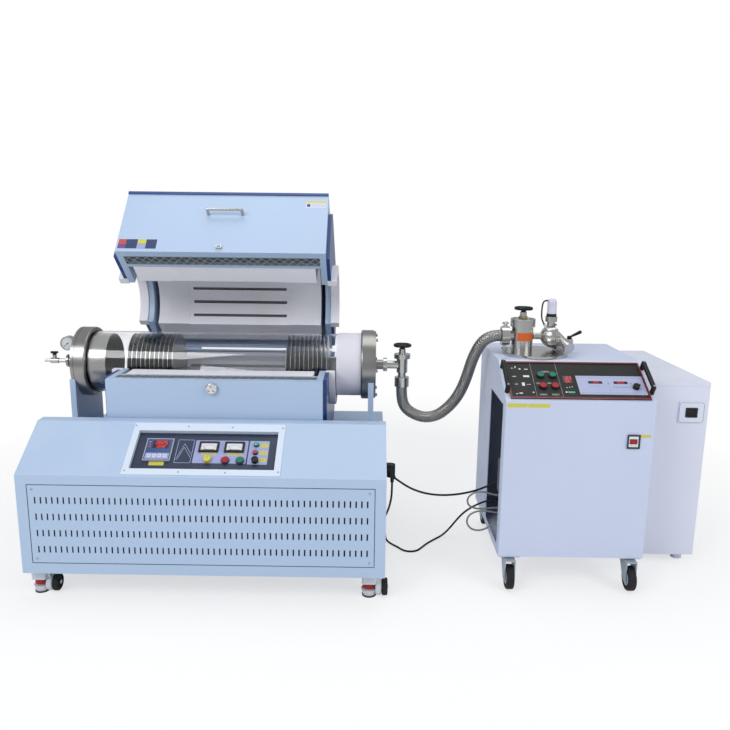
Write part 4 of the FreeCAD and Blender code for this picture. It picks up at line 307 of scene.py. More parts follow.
def settled_dust(tree, given):
    """Mask of fine dust on what faces up."""
    normal = add_node(tree, "NewGeometry").outputs["Normal"]
    upward = ramp(tree, add_node(tree, "SeparateXYZ", {0: normal}).outputs["Z"], 0.6, 1.0)
    clouds = ramp(tree, noise(tree, given["Vector"], 9.0, 6.0), 0.45, 0.75)
    return {"Mask": maths(tree, "MULTIPLY", upward, clouds, True)}


def turned_lines(tree, given):
    """Fine lathe lines round an axis on faced and turned steel."""
    moved = vector_maths(tree, "SUBTRACT", given["Vector"], given["Centre"])
    size = vector_maths(tree, "LENGTH", vector_maths(tree, "MULTIPLY", moved, given["Axis Scale"]))
    lines = add_node(tree, "TexNoise", {"W": size, "Scale": 900.0, "Detail": 4.0}, noise_dimensions="1D")
    line = lines.outputs["Fac"]
    return {"Line": line, "Normal": bump(tree, line, 0.0002, 0.25)}


def matted_fibre(tree, given):
    """Matted ceramic fibre: short tangled fibres and small pits."""
    fibre = noise(tree, given["Vector"], 320.0, 8.0)
    cells = add_node(tree, "TexVoronoi", {"Vector": given["Vector"], "Scale": 90.0})
    pit = ramp(tree, cells.outputs["Distance"], 0.22, 0.05)
    height = maths(tree, "SUBTRACT", fibre, maths(tree, "MULTIPLY", pit, 0.5))
    return {"Fibre": fibre, "Pit": pit, "Normal": bump(tree, height, 0.0012, 0.5)}


def moulded_grain(tree, given):
    """Spark-eroded grain of moulded plastic."""
    grain = noise(tree, given["Vector"], given["Grain"], 2.0)
    return {"Grain": grain, "Normal": bump(tree, grain, 0.0003, 0.3)}


POWDER_COAT = effect("powder_coat", {"Peel": 700.0}, ("Normal", "Tone"), powder_coat)
EDGE_WEAR_AND_HIGHLIGHT = effect("edge_wear_and_highlight", {}, ("Mask",), edge_wear_and_highlight)
SETTLED_DUST = effect("settled_dust", {}, ("Mask",), settled_dust)
TURNED_LINES = effect("turned_lines", {"Centre": (0, 0, 0), "Axis Scale": (0, 1, 1)}, ("Line", "Normal"),
                      turned_lines)
FIBRE_BOARD = effect("fibre_board", {}, ("Fibre", "Pit", "Normal"), matted_fibre)
MOULDED_GRAIN = effect("moulded_grain", {"Grain": 1400.0}, ("Grain", "Normal"), moulded_grain)


# Finishes

def bare_finish(name):
    material = bpy.data.materials.new(name)
    material.use_nodes = True
    tree = material.node_tree
    return material, tree, tree.nodes["Principled BSDF"], add_node(tree, "TexCoord").outputs["Object"]


def use_effect(tree, group, vector, values=None):
    return add_node(tree, "Group", {"Vector": vector, **(values or {})}, node_tree=group).outputs


def coated(name, colour, worn_and_lit_colour, roughness=0.36, dust=0.35):
    """Baked powder coat: orange peel, uneven tone, edges painted lighter (partly real scuffing, partly a
    painted edge highlight) and a little dust on top.
    """
    material, tree, shader, place = bare_finish(name)
    coat = use_effect(tree, POWDER_COAT, place)
    wear_and_highlight = use_effect(tree, EDGE_WEAR_AND_HIGHLIGHT, place)["Mask"]
    settled = use_effect(tree, SETTLED_DUST, place)["Mask"]
    tone = blend_colour(tree, coat["Tone"], darker(colour, 0.965), colour)
    # Edges painted lighter: partly scuffing from handling, partly a painted edge highlight.
    rubbed_and_lit = blend_colour(tree, maths(tree, "MULTIPLY", wear_and_highlight, 0.6), tone, worn_and_lit_colour)
    dusty = maths(tree, "MULTIPLY", settled, dust * 0.4)
    rough = maths(tree, "ADD", maths(tree, "MULTIPLY", coat["Tone"], 0.08), roughness - 0.04)
    feed(tree, shader, {
        "Base Color": blend_colour(tree, dusty, rubbed_and_lit, (0.74, 0.74, 0.72)),
        "Roughness": maths(tree, "ADD", rough, maths(tree, "MULTIPLY", settled, dust)),
        "Normal": coat["Normal"]})
    return material


def steel(name, colour, roughness, centre, axis_scale):
    """Turned and polished stainless steel."""
    material, tree, shader, place = bare_finish(name)
    lines = use_effect(tree, TURNED_LINES, place, {"Centre": tuple(at(*centre)), "Axis Scale": axis_scale})
    smear = noise(tree, place, 14.0, 5.0)
    tone = blend_colour(tree, lines["Line"], darker(colour, 0.86), colour)
    smeared = ramp(tree, smear, 0.45, 0.8, 0.0, 0.35)
    feed(tree, shader, {
        "Base Color": blend_colour(tree, smeared, tone, darker(colour, 0.8)),
        "Metallic": 1.0,
        "Roughness": maths(tree, "ADD", maths(tree, "MULTIPLY", smear, 0.16), roughness - 0.08),
        "Normal": lines["Normal"]})
    return material


def moulded(name, colour, roughness=0.45, grain=1400.0):
    """Moulded plastic or rubber with a fine grain, paler at its edges: partly scuffing from handling, partly
    a painted edge highlight.
    """
    material, tree, shader, place = bare_finish(name)
    skin = use_effect(tree, MOULDED_GRAIN, place, {"Grain": grain})
    # Edges painted paler: partly scuffing from handling, partly a painted edge highlight.
    wear_and_highlight = maths(tree, "MULTIPLY", use_effect(tree, EDGE_WEAR_AND_HIGHLIGHT, place)["Mask"], 0.4)
    tone = blend_colour(tree, skin["Grain"], darker(colour, 0.85), colour)
    paler = tuple(part * 0.7 + 0.04 for part in colour)
    handled = noise(tree, place, 30.0, 4.0)
    feed(tree, shader, {
        "Base Color": blend_colour(tree, wear_and_highlight, tone, paler),
        "Specular IOR Level": 0.3,
        "Roughness": ramp(tree, handled, 0.3, 0.7, roughness - 0.07, roughness + 0.07),
        "Normal": skin["Normal"]})
    return material


def fibre_board(name, low, high, stain):
    """Vacuum-formed fibre of the heated chamber."""
    material, tree, shader, place = bare_finish(name)
    board = use_effect(tree, FIBRE_BOARD, place)
    tone = blend_colour(tree, board["Fibre"], low, high)
    pitted = blend_colour(tree, maths(tree, "MULTIPLY", board["Pit"], 0.35), tone, stain)
    aged = ramp(tree, noise(tree, place, 5.0, 5.0), 0.5, 0.8, 0.0, 0.3)
    feed(tree, shader, {
        "Base Color": blend_colour(tree, aged, pitted, stain),
        "Roughness": 0.95,
        "Specular IOR Level": 0.2,
        "Normal": board["Normal"]})
    return material


def sleeve_cloth():
    """Woven glass-fibre sleeve on the tube's right end."""
    material, tree, shader, place = bare_finish("sleeve_cloth")
    weave = []
    for turn in (math.radians(45), math.radians(-45)):
        lean = add_node(tree, "Mapping", {"Vector": place, "Rotation": (turn, turn, 0)}).outputs[0]
        wave = add_node(tree, "TexWave", {"Vector": lean, "Scale": 160.0, "Distortion": 0.6})
        weave.append(wave.outputs["Fac"])
    crossing = maths(tree, "MAXIMUM", *weave)
    feed(tree, shader, {
        "Base Color": blend_colour(tree, crossing, (0.60, 0.59, 0.66), (0.74, 0.73, 0.80)),
        "Roughness": 0.85,
        "Normal": bump(tree, crossing, 0.0006, 0.5)})
    return material


def fused_quartz():
    """Clear fused quartz with faint drawing lines along the tube."""
    material, tree, shader, place = bare_finish("fused_quartz")
    stretched = add_node(tree, "Mapping", {"Vector": place, "Scale": (0.6, 40.0, 40.0)}).outputs[0]
    drawn = noise(tree, stretched, 1.0, 3.0)
    feed(tree, shader, {
        "Base Color": (0.97, 0.98, 1.0),
        "Transmission Weight": 1.0,
        "IOR": 1.46,
        "Roughness": ramp(tree, drawn, 0.3, 0.8, 0.0, 0.05),
        "Normal": bump(tree, drawn, 0.0004, 0.2)})
    return material


def braid(name, colour):
    """Stainless wire braid over a hose, from the hose's own unwrapped length and turn."""
    material, tree, shader, place = bare_finish(name)
    unwrapped = add_node(tree, "SeparateXYZ", {0: add_node(tree, "UVMap").outputs[0]}).outputs
    strands = []
    for lean in (1.0, -1.0):
        along = maths(tree, "MULTIPLY", unwrapped["X"], 110.0)
        around = maths(tree, "MULTIPLY", unwrapped["Y"], 12.0 * lean)
        turn = maths(tree, "MULTIPLY", maths(tree, "ADD", along, around), 2 * math.pi)
        strands.append(ramp(tree, maths(tree, "SINE", turn), -1.0, 1.0))
    over = maths(tree, "MAXIMUM", *strands)
    feed(tree, shader, {
        "Base Color": blend_colour(tree, over, darker(colour, 0.35), colour),
        "Metallic": 1.0,
        "Roughness": ramp(tree, over, 0.0, 1.0, 0.55, 0.26),
        "Normal": bump(tree, over, 0.0015, 0.6)})
    return material


def lit_plastic(name, colour, glow):
    """A lamp lens or display window: tinted clear plastic with a dim light behind."""
    material, tree, shader, place = bare_finish(name)
    facets = noise(tree, place, 260.0, 2.0)
    feed(tree, shader, {
        "Base Color": blend_colour(tree, facets, darker(colour, 0.6), colour),
        "Emission Color": blend_colour(tree, facets, darker(colour, 0.8), colour),
        "Emission Strength": glow,
        "Roughness": 0.16,
        "Coat Weight": 0.5,
        "Normal": bump(tree, facets, 0.0002, 0.2)})
    return material


def printed(name, colour, roughness=0.42):
    """Screen-printed film or enamel, also flat painted shade in gaps and recesses: a little uneven in tone
    and gloss.
    """
    material, tree, shader, place = bare_finish(name)
    cloud = noise(tree, place, 60.0, 3.0)
    feed(tree, shader, {
        "Base Color": blend_colour(tree, cloud, darker(colour, 0.86), colour),
        "Roughness": ramp(tree, cloud, 0.3, 0.7, roughness - 0.06, roughness + 0.08),
        "Normal": bump(tree, noise(tree, place, 900.0, 2.0), 0.0001, 0.2)})
    return material


def vent_shade_sheet():
    """A dark navy sheet with an open-cell texture behind the vent slots: painted shade of the cabinet's
    interior.
    """
    material, tree, shader, place = bare_finish("vent_shade_sheet")
    cells = add_node(tree, "TexVoronoi", {"Vector": place, "Scale": 420.0}).outputs["Distance"]
    feed(tree, shader, {
        "Base Color": blend_colour(tree, cells, (0.012, 0.017, 0.035), (0.03, 0.04, 0.08)),
        "Roughness": 0.95,
        "Specular IOR Level": 0.1,
        "Normal": bump(tree, cells, 0.002, 0.8)})
    return material


SHELL_BLUE_WHITE = coated("shell_blue_white", (0.40, 0.515, 0.69), (0.60, 0.67, 0.78))
BEZEL_WHITE = coated("bezel_white", (0.60, 0.68, 0.80), (0.70, 0.75, 0.82))
TRIM_BLUE = coated("trim_blue", (0.012, 0.05, 0.20), (0.08, 0.14, 0.34), 0.3, 0.15)
PLATE_NAVY = coated("plate_navy", (0.010, 0.022, 0.055), (0.08, 0.11, 0.2), 0.42, 0.1)
CART_WHITE = coated("cart_white", (0.53, 0.585, 0.745), (0.68, 0.71, 0.8))
CHILLER_WHITE = coated("chiller_white", (0.66, 0.69, 0.80), (0.7, 0.72, 0.8))
PANEL_PALE = coated("panel_pale", (0.36, 0.40, 0.58), (0.6, 0.64, 0.76), 0.4, 0.1)
RACK_BLACK = coated("rack_black", (0.004, 0.0045, 0.004), (0.03, 0.03, 0.03), 0.6, 0.05)
TRIM_RED = coated("trim_red", (0.09, 0.005, 0.007), (0.2, 0.03, 0.03), 0.4, 0.08)
# A lighter copy of the border's red, painted as the highlight on its outer edge.
TRIM_RED_HIGHLIGHT = coated("trim_red_highlight", (0.40, 0.08, 0.09), (0.5, 0.2, 0.2), 0.4, 0.08)
BAND_ORANGE = coated("band_orange", (0.62, 0.115, 0.008), (0.7, 0.3, 0.1), 0.4, 0.1)
HEAD_PALE = coated("head_pale", (0.60, 0.60, 0.74), (0.7, 0.7, 0.78), 0.32, 0.1)
CASTER_WHITE = coated("caster_white", (0.60, 0.63, 0.68), (0.7, 0.72, 0.74), 0.3, 0.2)
ZINC = coated("zinc_plate", (0.30, 0.36, 0.40), (0.5, 0.54, 0.56), 0.3)
CORE_GREY = coated("transformer_core", (0.09, 0.09, 0.10), (0.2, 0.2, 0.2))
PUMP_GREY = coated("pump_grey", (0.22, 0.23, 0.25), (0.4, 0.4, 0.4))
FLANGE_STEEL = steel("flange_steel", (0.34, 0.335, 0.32), 0.3, (0, 587, 748), (0, 1, 1))
VALVE_STEEL = steel("valve_steel", (0.58, 0.575, 0.56), 0.22, (1171, 480, 0), (1, 1, 0))
ANGLE_STEEL = steel("angle_valve_steel", (0.58, 0.575, 0.56), 0.22, (706, 587, 0), (1, 1, 0))
GAUGE_STEEL = steel("gauge_steel", (0.50, 0.50, 0.51), 0.18, (-669, 0, 822), (1, 0, 1))
FITTING_STEEL = steel("fitting_steel", (0.62, 0.63, 0.64), 0.16, (1103, 480, 892), (1, 1, 1))
LATCH_CHROME = steel("latch_chrome", (0.68, 0.68, 0.69), 0.1, (-7, 0, 718.5), (1, 0, 1))
BRASS = steel("brass", (0.62, 0.50, 0.28), 0.24, (1171, 480, 0), (1, 1, 0))
SHIELD_STEEL = steel("shield_steel", (0.36, 0.355, 0.34), 0.3, (0, 587, 748), (0, 1, 1))
FIBRE = fibre_board("fibre_board", (0.71, 0.71, 0.76), (0.88, 0.88, 0.94), (0.62, 0.60, 0.58))
# Near-black fibre for the element slots: painted shade of the deep grooves.
SLOT_SHADE_FIBRE = fibre_board("slot_shade_fibre", (0.10, 0.105, 0.115), (0.17, 0.175, 0.19), (0.07, 0.065, 0.06))
SLEEVE = sleeve_cloth()
QUARTZ = fused_quartz()
BRAID = braid("hose_braid", (0.33, 0.325, 0.31))
BLACK_PLASTIC = moulded("black_plastic", (0.007, 0.007, 0.008), 0.42)
BLACK_RUBBER = moulded("black_rubber", (0.012, 0.012, 0.013), 0.6)
CABLE_RUBBER = moulded("cable_rubber", (0.007, 0.007, 0.008), 0.5, 900.0)
CASE_SILVER = moulded("case_silver", (0.40, 0.42, 0.50), 0.35)
METER_BLACK = moulded("meter_black", (0.010, 0.012, 0.020), 0.35)
YELLOW_PLASTIC = moulded("yellow_plastic", (0.62, 0.56, 0.06), 0.35)
RED_PLASTIC = moulded("red_plastic", (0.36, 0.012, 0.014), 0.4)
GREEN_PLASTIC = moulded("green_plastic", (0.008, 0.17, 0.10), 0.4)

PRINT_LAVENDER = printed("print_lavender", (0.33, 0.36, 0.62))
PRINT_PALE = printed("print_pale", (0.60, 0.63, 0.76))
PRINT_WHITE = printed("print_white", (0.70, 0.71, 0.74))
PRINT_YELLOW = printed("print_yellow", (0.60, 0.56, 0.05))
# Dark and grey print; these two also paint the shade in the screws' cross recesses.
PRINT_DARK_AND_SHADE = printed("print_dark_and_shade", (0.02, 0.022, 0.035))
PRINT_GREY_AND_SHADE = printed("print_grey_and_shade", (0.16, 0.17, 0.21))
PRINT_NAVY = printed("print_navy", (0.025, 0.045, 0.14))
PRINT_RED = printed("print_red", (0.55, 0.07, 0.05))
PRINT_PURPLE = printed("print_purple", (0.16, 0.07, 0.22))
CONTROLLER_BLUE = printed("controller_blue", (0.03, 0.075, 0.21), 0.22)
DISPLAY_DARK = printed("display_dark", (0.045, 0.006, 0.016), 0.15)
FIGURE_RED = lit_plastic("figure_red", (0.75, 0.02, 0.03), 0.9)
LENS_GREEN = lit_plastic("lens_green", (0.02, 0.40, 0.22), 0.1)
LENS_RED = lit_plastic("lens_red", (0.36, 0.01, 0.04), 0.1)
SEAM_SHADE = printed("seam_shade", (0.055, 0.065, 0.10), 0.8)
# Painted shade behind the vent slots.
VENT_SHADE = vent_shade_sheet()
MESH_METAL = coated("mesh_metal", (0.20, 0.215, 0.205), (0.4, 0.41, 0.4), 0.45)
SCREW_STEEL = coated("screw_steel", (0.42, 0.44, 0.48), (0.6, 0.6, 0.6), 0.28)


# Cords, hoses and their routes

HOSE_ROUTE = [
    (706, 587, 658), (706, 587, 612), (719, 582, 569), (756, 574, 542), (806, 565, 529),
    (857, 556, 543), (897, 548, 579), (930, 540, 622), (954, 531, 676), (970, 522, 732),
    (982, 512, 784), (1000, 501, 834), (1022, 488, 872), (1058, 480, 892), (1088, 480, 892),
]
GAUGE_LEAD_ROUTE = [
    (1261, 480, 1032), (1253, 480, 1032), (1246, 480, 1025), (1243, 480, 1011),
    (1242, 480, 991), (1242.5, 480, 970), (1246.5, 480, 952), (1254, 480, 940),
]
SIGNAL_ROUTE = [
    (674, 300, 362), (702, 301, 341), (744, 304, 315), (798, 309, 296), (857, 315, 288),
    (916, 323, 289), (972, 331, 297), (1022, 339, 311), (1066, 345, 330),
]
POWER_ROUTE = [
    (664, 300, 346), (664, 300, 314), (663, 313, 276), (658, 338, 236), (652, 372, 198),
    (647, 412, 166), (645, 458, 138), (644, 506, 114), (644, 548, 95), (644, 561, 70),
    (645, 560, 42), (647, 546, 18), (650, 521, 5), (661, 493, 4.5), (679, 468, 5),
    (700, 446, 4.5), (719, 418, 4.5), (748, 408, 4.5), (777, 418, 4.5), (796, 446, 4.5),
    (822, 486, 5), (856, 526, 4.5), (893, 557, 9), (925, 570, 36), (950, 558, 78),
    (973, 528, 124), (1001, 487, 168), (1032, 444, 206), (1064, 409, 234), (1090, 392, 246),
]

# The hose in metres: middle radius, the swing and pitch of its convolutions, and its nominal size
HOSE_RADIUS = 0.0227
HOSE_WAVE = 0.0007
HOSE_PITCH = 0.0104
HOSE_SIDES = 40


def polar(radius, angle):
    return radius * math.cos(angle), radius * math.sin(angle)


def circle(radius, steps):
    return [polar(radius, 2 * math.pi * step / steps) for step in range(steps)]


def dress(piece, body, finish=None):
    """Give a piece its finish and the body that it moves with."""
    if finish is not None:
        piece.data.materials.clear()
        piece.data.materials.append(finish)
    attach(piece, body)
    return piece


def smooth_route(name, points, radius=0.0):
    """One smooth curve through the air, drawn by its control points."""
    curve = bpy.data.curves.new(name, "CURVE")
    curve.dimensions = "3D"
    curve.resolution_u = 12
    spline = curve.splines.new("NURBS")
    spline.points.add(len(points) - 1)
    for target, point in zip(spline.points, points):
        target.co = (*at(*point), 1)
    spline.order_u = 3
    spline.use_endpoint_u = True
    curve.bevel_depth = radius
    curve.bevel_resolution = 6
    curve.use_fill_caps = radius > 0
    return in_scene(name, curve)


def points_along(route):
    """The route's own smooth line as points, read from the curve."""
    bpy.context.view_layer.update()
    line = bpy.data.meshes.new_from_object(route.evaluated_get(bpy.context.evaluated_depsgraph_get()))
    found = [vertex.co.copy() for vertex in line.vertices]
    bpy.data.meshes.remove(line)
    return found


def frames_along(points):
    """Each point with two steady sideways directions, square to the line and with no twist."""
    frames = []
    side = None
    for index, point in enumerate(points):
        before = points[max(index - 1, 0)]
        after = points[min(index + 1, len(points) - 1)]
        tangent = (after - before).normalized()
        if side is None:
            side = tangent.orthogonal().normalized()
        side = (side - tangent * side.dot(tangent)).normalized()
        frames.append((point, side, tangent.cross(side)))
    return frames


def spread_evenly(points, step):
    """The same line with its points a steady step apart."""
    lengths = [0.0]
    for before, after in zip(points, points[1:]):
        lengths.append(lengths[-1] + (after - before).length)
    count = max(2, round(lengths[-1] / step))
    result, segment = [], 0
    for index in range(count + 1):
        wanted = lengths[-1] * index / count
        while segment < len(points) - 2 and lengths[segment + 1] < wanted:
            segment += 1
        span = lengths[segment + 1] - lengths[segment]
        share = (wanted - lengths[segment]) / span if span else 0
        result.append(points[segment].lerp(points[segment + 1], share))
    return result, lengths[-1]


def braided_hose():
    """Bellows hose under wire braid: shallow convolutions show through the braid."""
    route = smooth_route("vacuum_hose_line", HOSE_ROUTE)
    path = points_along(route)
    bpy.data.objects.remove(route)
    line, length = spread_evenly(path, HOSE_PITCH / 4)
    mesh = bpy.data.meshes.new("vacuum_hose_braid")
    work = bmesh.new()
    unwrapped = work.loops.layers.uv.new("unwrapped")
    rings = []
    for index, (point, side, other) in enumerate(frames_along(line)):
        travelled = length * index / (len(line) - 1)
        radius = HOSE_RADIUS + HOSE_WAVE * math.cos(2 * math.pi * travelled / HOSE_PITCH)
        rings.append([work.verts.new(point + (side * x + other * y) * radius)
                      for x, y in circle(1.0, HOSE_SIDES)])
    for index in range(len(rings) - 1):
        for step in range(HOSE_SIDES):
            following = (step + 1) % HOSE_SIDES
            face = work.faces.new((rings[index][step], rings[index][following],
                                   rings[index + 1][following], rings[index + 1][step]))
            face.smooth = True
            corners = ((index, step), (index, step + 1), (index + 1, step + 1), (index + 1, step))
            for loop, (row, column) in zip(face.loops, corners):
                loop[unwrapped].uv = (length * row / (len(rings) - 1), column / HOSE_SIDES)
    for ring in (rings[0], list(reversed(rings[-1]))):
        work.faces.new(list(reversed(ring)))
    work.to_mesh(mesh)
    work.free()
    hose = in_scene("vacuum_hose_braid", mesh)
    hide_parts("vacuum_hose")
    dress(hose, "furnace", BRAID)


def lead(name, node, route, radius):
    """A round black lead between two glands."""
    line = smooth_route(name + "_line", route)
    _, length = spread_evenly(points_along(line), 0.003)
    bpy.data.objects.remove(line)
    cable = smooth_route(name, route, radius)
    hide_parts(node)
    dress(cable, "furnace", CABLE_RUBBER)


braided_hose()
lead("signal_lead", "signal_cable", SIGNAL_ROUTE, 0.004)
lead("power_lead", "power_cable", POWER_ROUTE, 0.004)
lead("head_lead", "gauge_lead", GAUGE_LEAD_ROUTE, 0.003)


# Finishes of the pieces that carry over from the frame

NODE_FINISHES = (
    (SHELL_BLUE_WHITE, "base_cabinet vent_panel lower_shell lid_shell tube_supports"),
    (TRIM_BLUE, "lower_end_panels lid_panels"),
    (BEZEL_WHITE, "control_bezel"),
    (PLATE_NAVY, "control_plate"),
    (CASTER_WHITE, "levelling_casters"),
    (CORE_GREY, "power_transformer"),
    (PUMP_GREY, "pump_set"),
    (CART_WHITE, "cart_cabinet"),
    (CHILLER_WHITE, "chiller_case"),
    (RACK_BLACK, "cart_panel"),
    (CASE_SILVER, "temperature_controller"),
    (METER_BLACK, "panel_indicators"),
    (YELLOW_PLASTIC, "selector_yellow"),
    (RED_PLASTIC, "button_red breaker_rocker cart_button_stop_a cart_button_stop_b"),
    (GREEN_PLASTIC, "button_green cart_button_start_a cart_button_start_b"),
    (BLACK_PLASTIC, "selector_black gas_valve_lever angle_handwheel side_connector cart_handles cart_knob"),
    (BLACK_PLASTIC, "main_handwheel manifold_lever chiller_rocker"),
    (BLACK_RUBBER, "front_caster_wheels rear_caster_wheels cart_rear_wheels"),
    (BLACK_RUBBER, "cart_wheel_left cart_wheel_right"),
    (FIBRE, "lower_heater lid_heater"),
    (QUARTZ, "quartz_tube"),
    (SLEEVE, "tube_wrap"),
    (LATCH_CHROME, "latch_knob"),
    (FLANGE_STEEL, "left_flange right_flange"),
    (SHIELD_STEEL, "heat_shields"),
    (GAUGE_STEEL, "lid_handle pressure_gauge gas_valve"),
    (ANGLE_STEEL, "angle_valve"),
    (VALVE_STEEL, "main_valve valve_manifold gauge_head"),
    (ZINC, "cart_fork_left cart_fork_right"),
)


def finish_nodes():
    for finish, names in NODE_FINISHES:
        for name in names.split():
            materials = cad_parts[name].data.materials
            materials.clear()
            materials.append(finish)


def darken_slots(node, axis):
    """Element slots of a half-round bore, painted near-black as the shade deep inside them: every face
    behind the bore's own skin.
    """
    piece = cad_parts[node]
    piece.data.materials.append(SLOT_SHADE_FIBRE)
    for face in piece.data.polygons:
        middle = piece.matrix_world @ face.center
        reach = math.hypot(middle.y - axis.y, middle.z - axis.z)
        if SLOT_RADII[0] < reach < SLOT_RADII[1] and abs(middle.x - axis.x) < SLOT_HALF_LENGTH:
            face.material_index = 1


finish_nodes()
darken_slots("lower_heater", at(*LOWER_BORE_AXIS))
darken_slots("lid_heater", lid_spot(0, LID_BORE_REACH, LID_RIM_RISE))


# Forms that small pieces are made of, in millimetres within a place

def bridge(work, rings, finish=0, closed=False):
    """Faces from ring to ring; the first and last are capped unless the rings close on themselves."""
    pairs = list(zip(rings, rings[1:]))
    if closed:
        pairs.append((rings[-1], rings[0]))
    for first, second in pairs:
        for index, corner in enumerate(first):
            following = (index + 1) % len(first)
            face = work.faces.new((corner, first[following], second[following], second[index]))
            face.material_index = finish
    if not closed:
        for ring in (list(reversed(rings[0])), rings[-1]):
            work.faces.new(ring).material_index = finish


def rounded_outline(width, height, radius, steps):
    corners = []
    for quarter, (side, level) in enumerate(((1, 1), (-1, 1), (-1, -1), (1, -1))):
        for step in range(steps + 1):
            angle = math.pi / 2 * (quarter + step / steps)
            x, y = polar(radius, angle)
            corners.append((side * (width / 2 - radius) + x, level * (height / 2 - radius) + y))
    return corners


def placed_ring(work, place, outline, lift):
    return [work.verts.new(place @ (Vector((x, y, lift)) / 1000)) for x, y in outline]


def add_slab(work, place, width, height, thick, radius=1.0, edge=0.15, finish=0, steps=4):
    """A flat plate with round corners and an eased front edge."""
    radius = min(radius, width / 2.2, height / 2.2)
    rings = []
    for inset, lift in ((0, 0), (0, thick - edge), (edge, thick)):
        outline = rounded_outline(width - 2 * inset, height - 2 * inset, max(radius - inset, 0.02), steps)
        rings.append(placed_ring(work, place, outline, lift))
    bridge(work, rings, finish)


def add_border(work, place, width, height, bar, thick, radius=1.0, finish=0):
    """A flat frame, bar wide all round."""
    rings = []
    for inset, lift in ((0, 0), (0, thick), (bar, thick), (bar, 0)):
        outline = rounded_outline(width - 2 * inset, height - 2 * inset, max(radius - inset, 0.05), 4)
        rings.append(placed_ring(work, place, outline, lift))
    bridge(work, rings, finish, closed=True)


def add_turned(work, place, profile, steps=28, finish=0):
    """A solid of revolution about the place's own Z, from (radius, lift) points."""
    bridge(work, [placed_ring(work, place, circle(radius, steps), lift) for radius, lift in profile], finish)


def add_hoop(work, place, profile, steps, finish=0):
    """A ring of revolution about the place's own Z, from a closed (radius, lift) profile."""
    rings = [placed_ring(work, place, circle(radius, steps), lift) for radius, lift in profile]
    bridge(work, rings, finish, closed=True)


def add_stroke(work, place, start, end, width, thick, finish=0):
    """A straight raised line from start to end."""
    start, end = Vector(start), Vector(end)
    run = end - start
    turn = Matrix.Rotation(math.atan2(run.y, run.x), 4, "Z")
    add_slab(work, place @ across(*(start + end) / 2) @ turn, run.length + width, width, thick, width / 2,
             min(thick, width) / 4, finish, 2)


SEGMENTS = {
    "a": ((0, 2), (1, 2)), "b": ((1, 2), (1, 1)), "c": ((1, 1), (1, 0)), "d": ((0, 0), (1, 0)),
    "e": ((0, 1), (0, 0)), "f": ((0, 2), (0, 1)), "g": ((0, 1), (1, 1)),
}
FIGURES = {"0": "abcdef", "1": "bc", "2": "abged", "3": "abgcd", "5": "afgcd", "8": "abcdefg"}


def add_figures(work, place, text, height, lift, finish):
    """Seven-segment figures, centred on the place."""
    wide, advance = height * 0.48, height * 0.78
    start = -advance * (len(text) - 1) / 2 - wide / 2
    for index, figure in enumerate(text):
        for segment in FIGURES[figure]:
            ends = [(start + index * advance + x * wide, (y - 1) * height / 2) for x, y in SEGMENTS[segment]]
            add_stroke(work, place @ across(0, 0, lift), *ends, height * 0.11, 0.12, finish)


def add_legend(work, place, width, rows, pitch, size, seed, finish):
    """Rows of short raised dashes, as small print looks from where the operator stands."""
    chance = random.Random(seed)
    for row in range(rows):
        y = (row - (rows - 1) / 2) * pitch
        x = -width / 2
        while x < width / 2 - size:
            dash = min(chance.uniform(1.2, 3.0) * size, width / 2 - x)
            add_slab(work, place @ across(x + dash / 2, y), dash, size, 0.08, size / 3, 0.02, finish, 1)
            x += dash + size * chance.uniform(0.5, 0.9)


def add_screw(work, place, radius, finish=0, recess=1):
    """A pan-head screw; its cross recess is a thin dark cross laid on the head, painted shade of the hollow.
    """
    add_turned(work, place, ((radius, 0), (radius, radius * 0.22), (radius * 0.8, radius * 0.46),
                             (radius * 0.4, radius * 0.56)), 20, finish)
    # The cross: thin dark slabs on the head, painted shade where the recess would be.
    for quarter in (20, 110):
        slot = place @ across(0, 0, radius * 0.52) @ turned(quarter, "Z")
        add_slab(work, slot, radius * 1.1, radius * 0.26,
                 radius * 0.06, radius * 0.1, 0.01, recess, 1)


def small_piece(name, work, finishes, body):
    """The finished piece from its forms; faces that meet at a sharp angle keep their edge."""
    bmesh.ops.recalc_face_normals(work, faces=work.faces)
    for face in work.faces:
        face.smooth = True
    mesh = bpy.data.meshes.new(name)
    work.to_mesh(mesh)
    work.free()
    mesh.set_sharp_from_angle(angle=math.radians(35))
    for finish in finishes:
        mesh.materials.append(finish)
    return dress(in_scene(name, mesh), body)


# Control console

BEZEL_TOP = 3.0
PLATE_LIFT = -12.0
METER_FLOOR = -8.0
CONTROLLER_FACE = -6.5
LAMP_FRONT = -4.0
BEZEL_SCREWS = ((-263, 22), (-268, 220), (-78, 219), (81, 217), (-78, 19), (83, 18), (263, 23), (262, 216))
CONTROLLER_X, CONTROLLER_UP = -169.0, 121.5
METER_X, METER_UP = (6.5, 97.0), 137.0
LAMPS_X, LAMPS_UP = 173.0, (149.0, 114.0)


def bezel_screws():
    work = bmesh.new()
    for x, up in BEZEL_SCREWS:
        add_screw(work, console_frame(x, up, BEZEL_TOP), 3.4)
    small_piece("bezel_screws", work, (SCREW_STEEL, PRINT_DARK_AND_SHADE), "furnace")


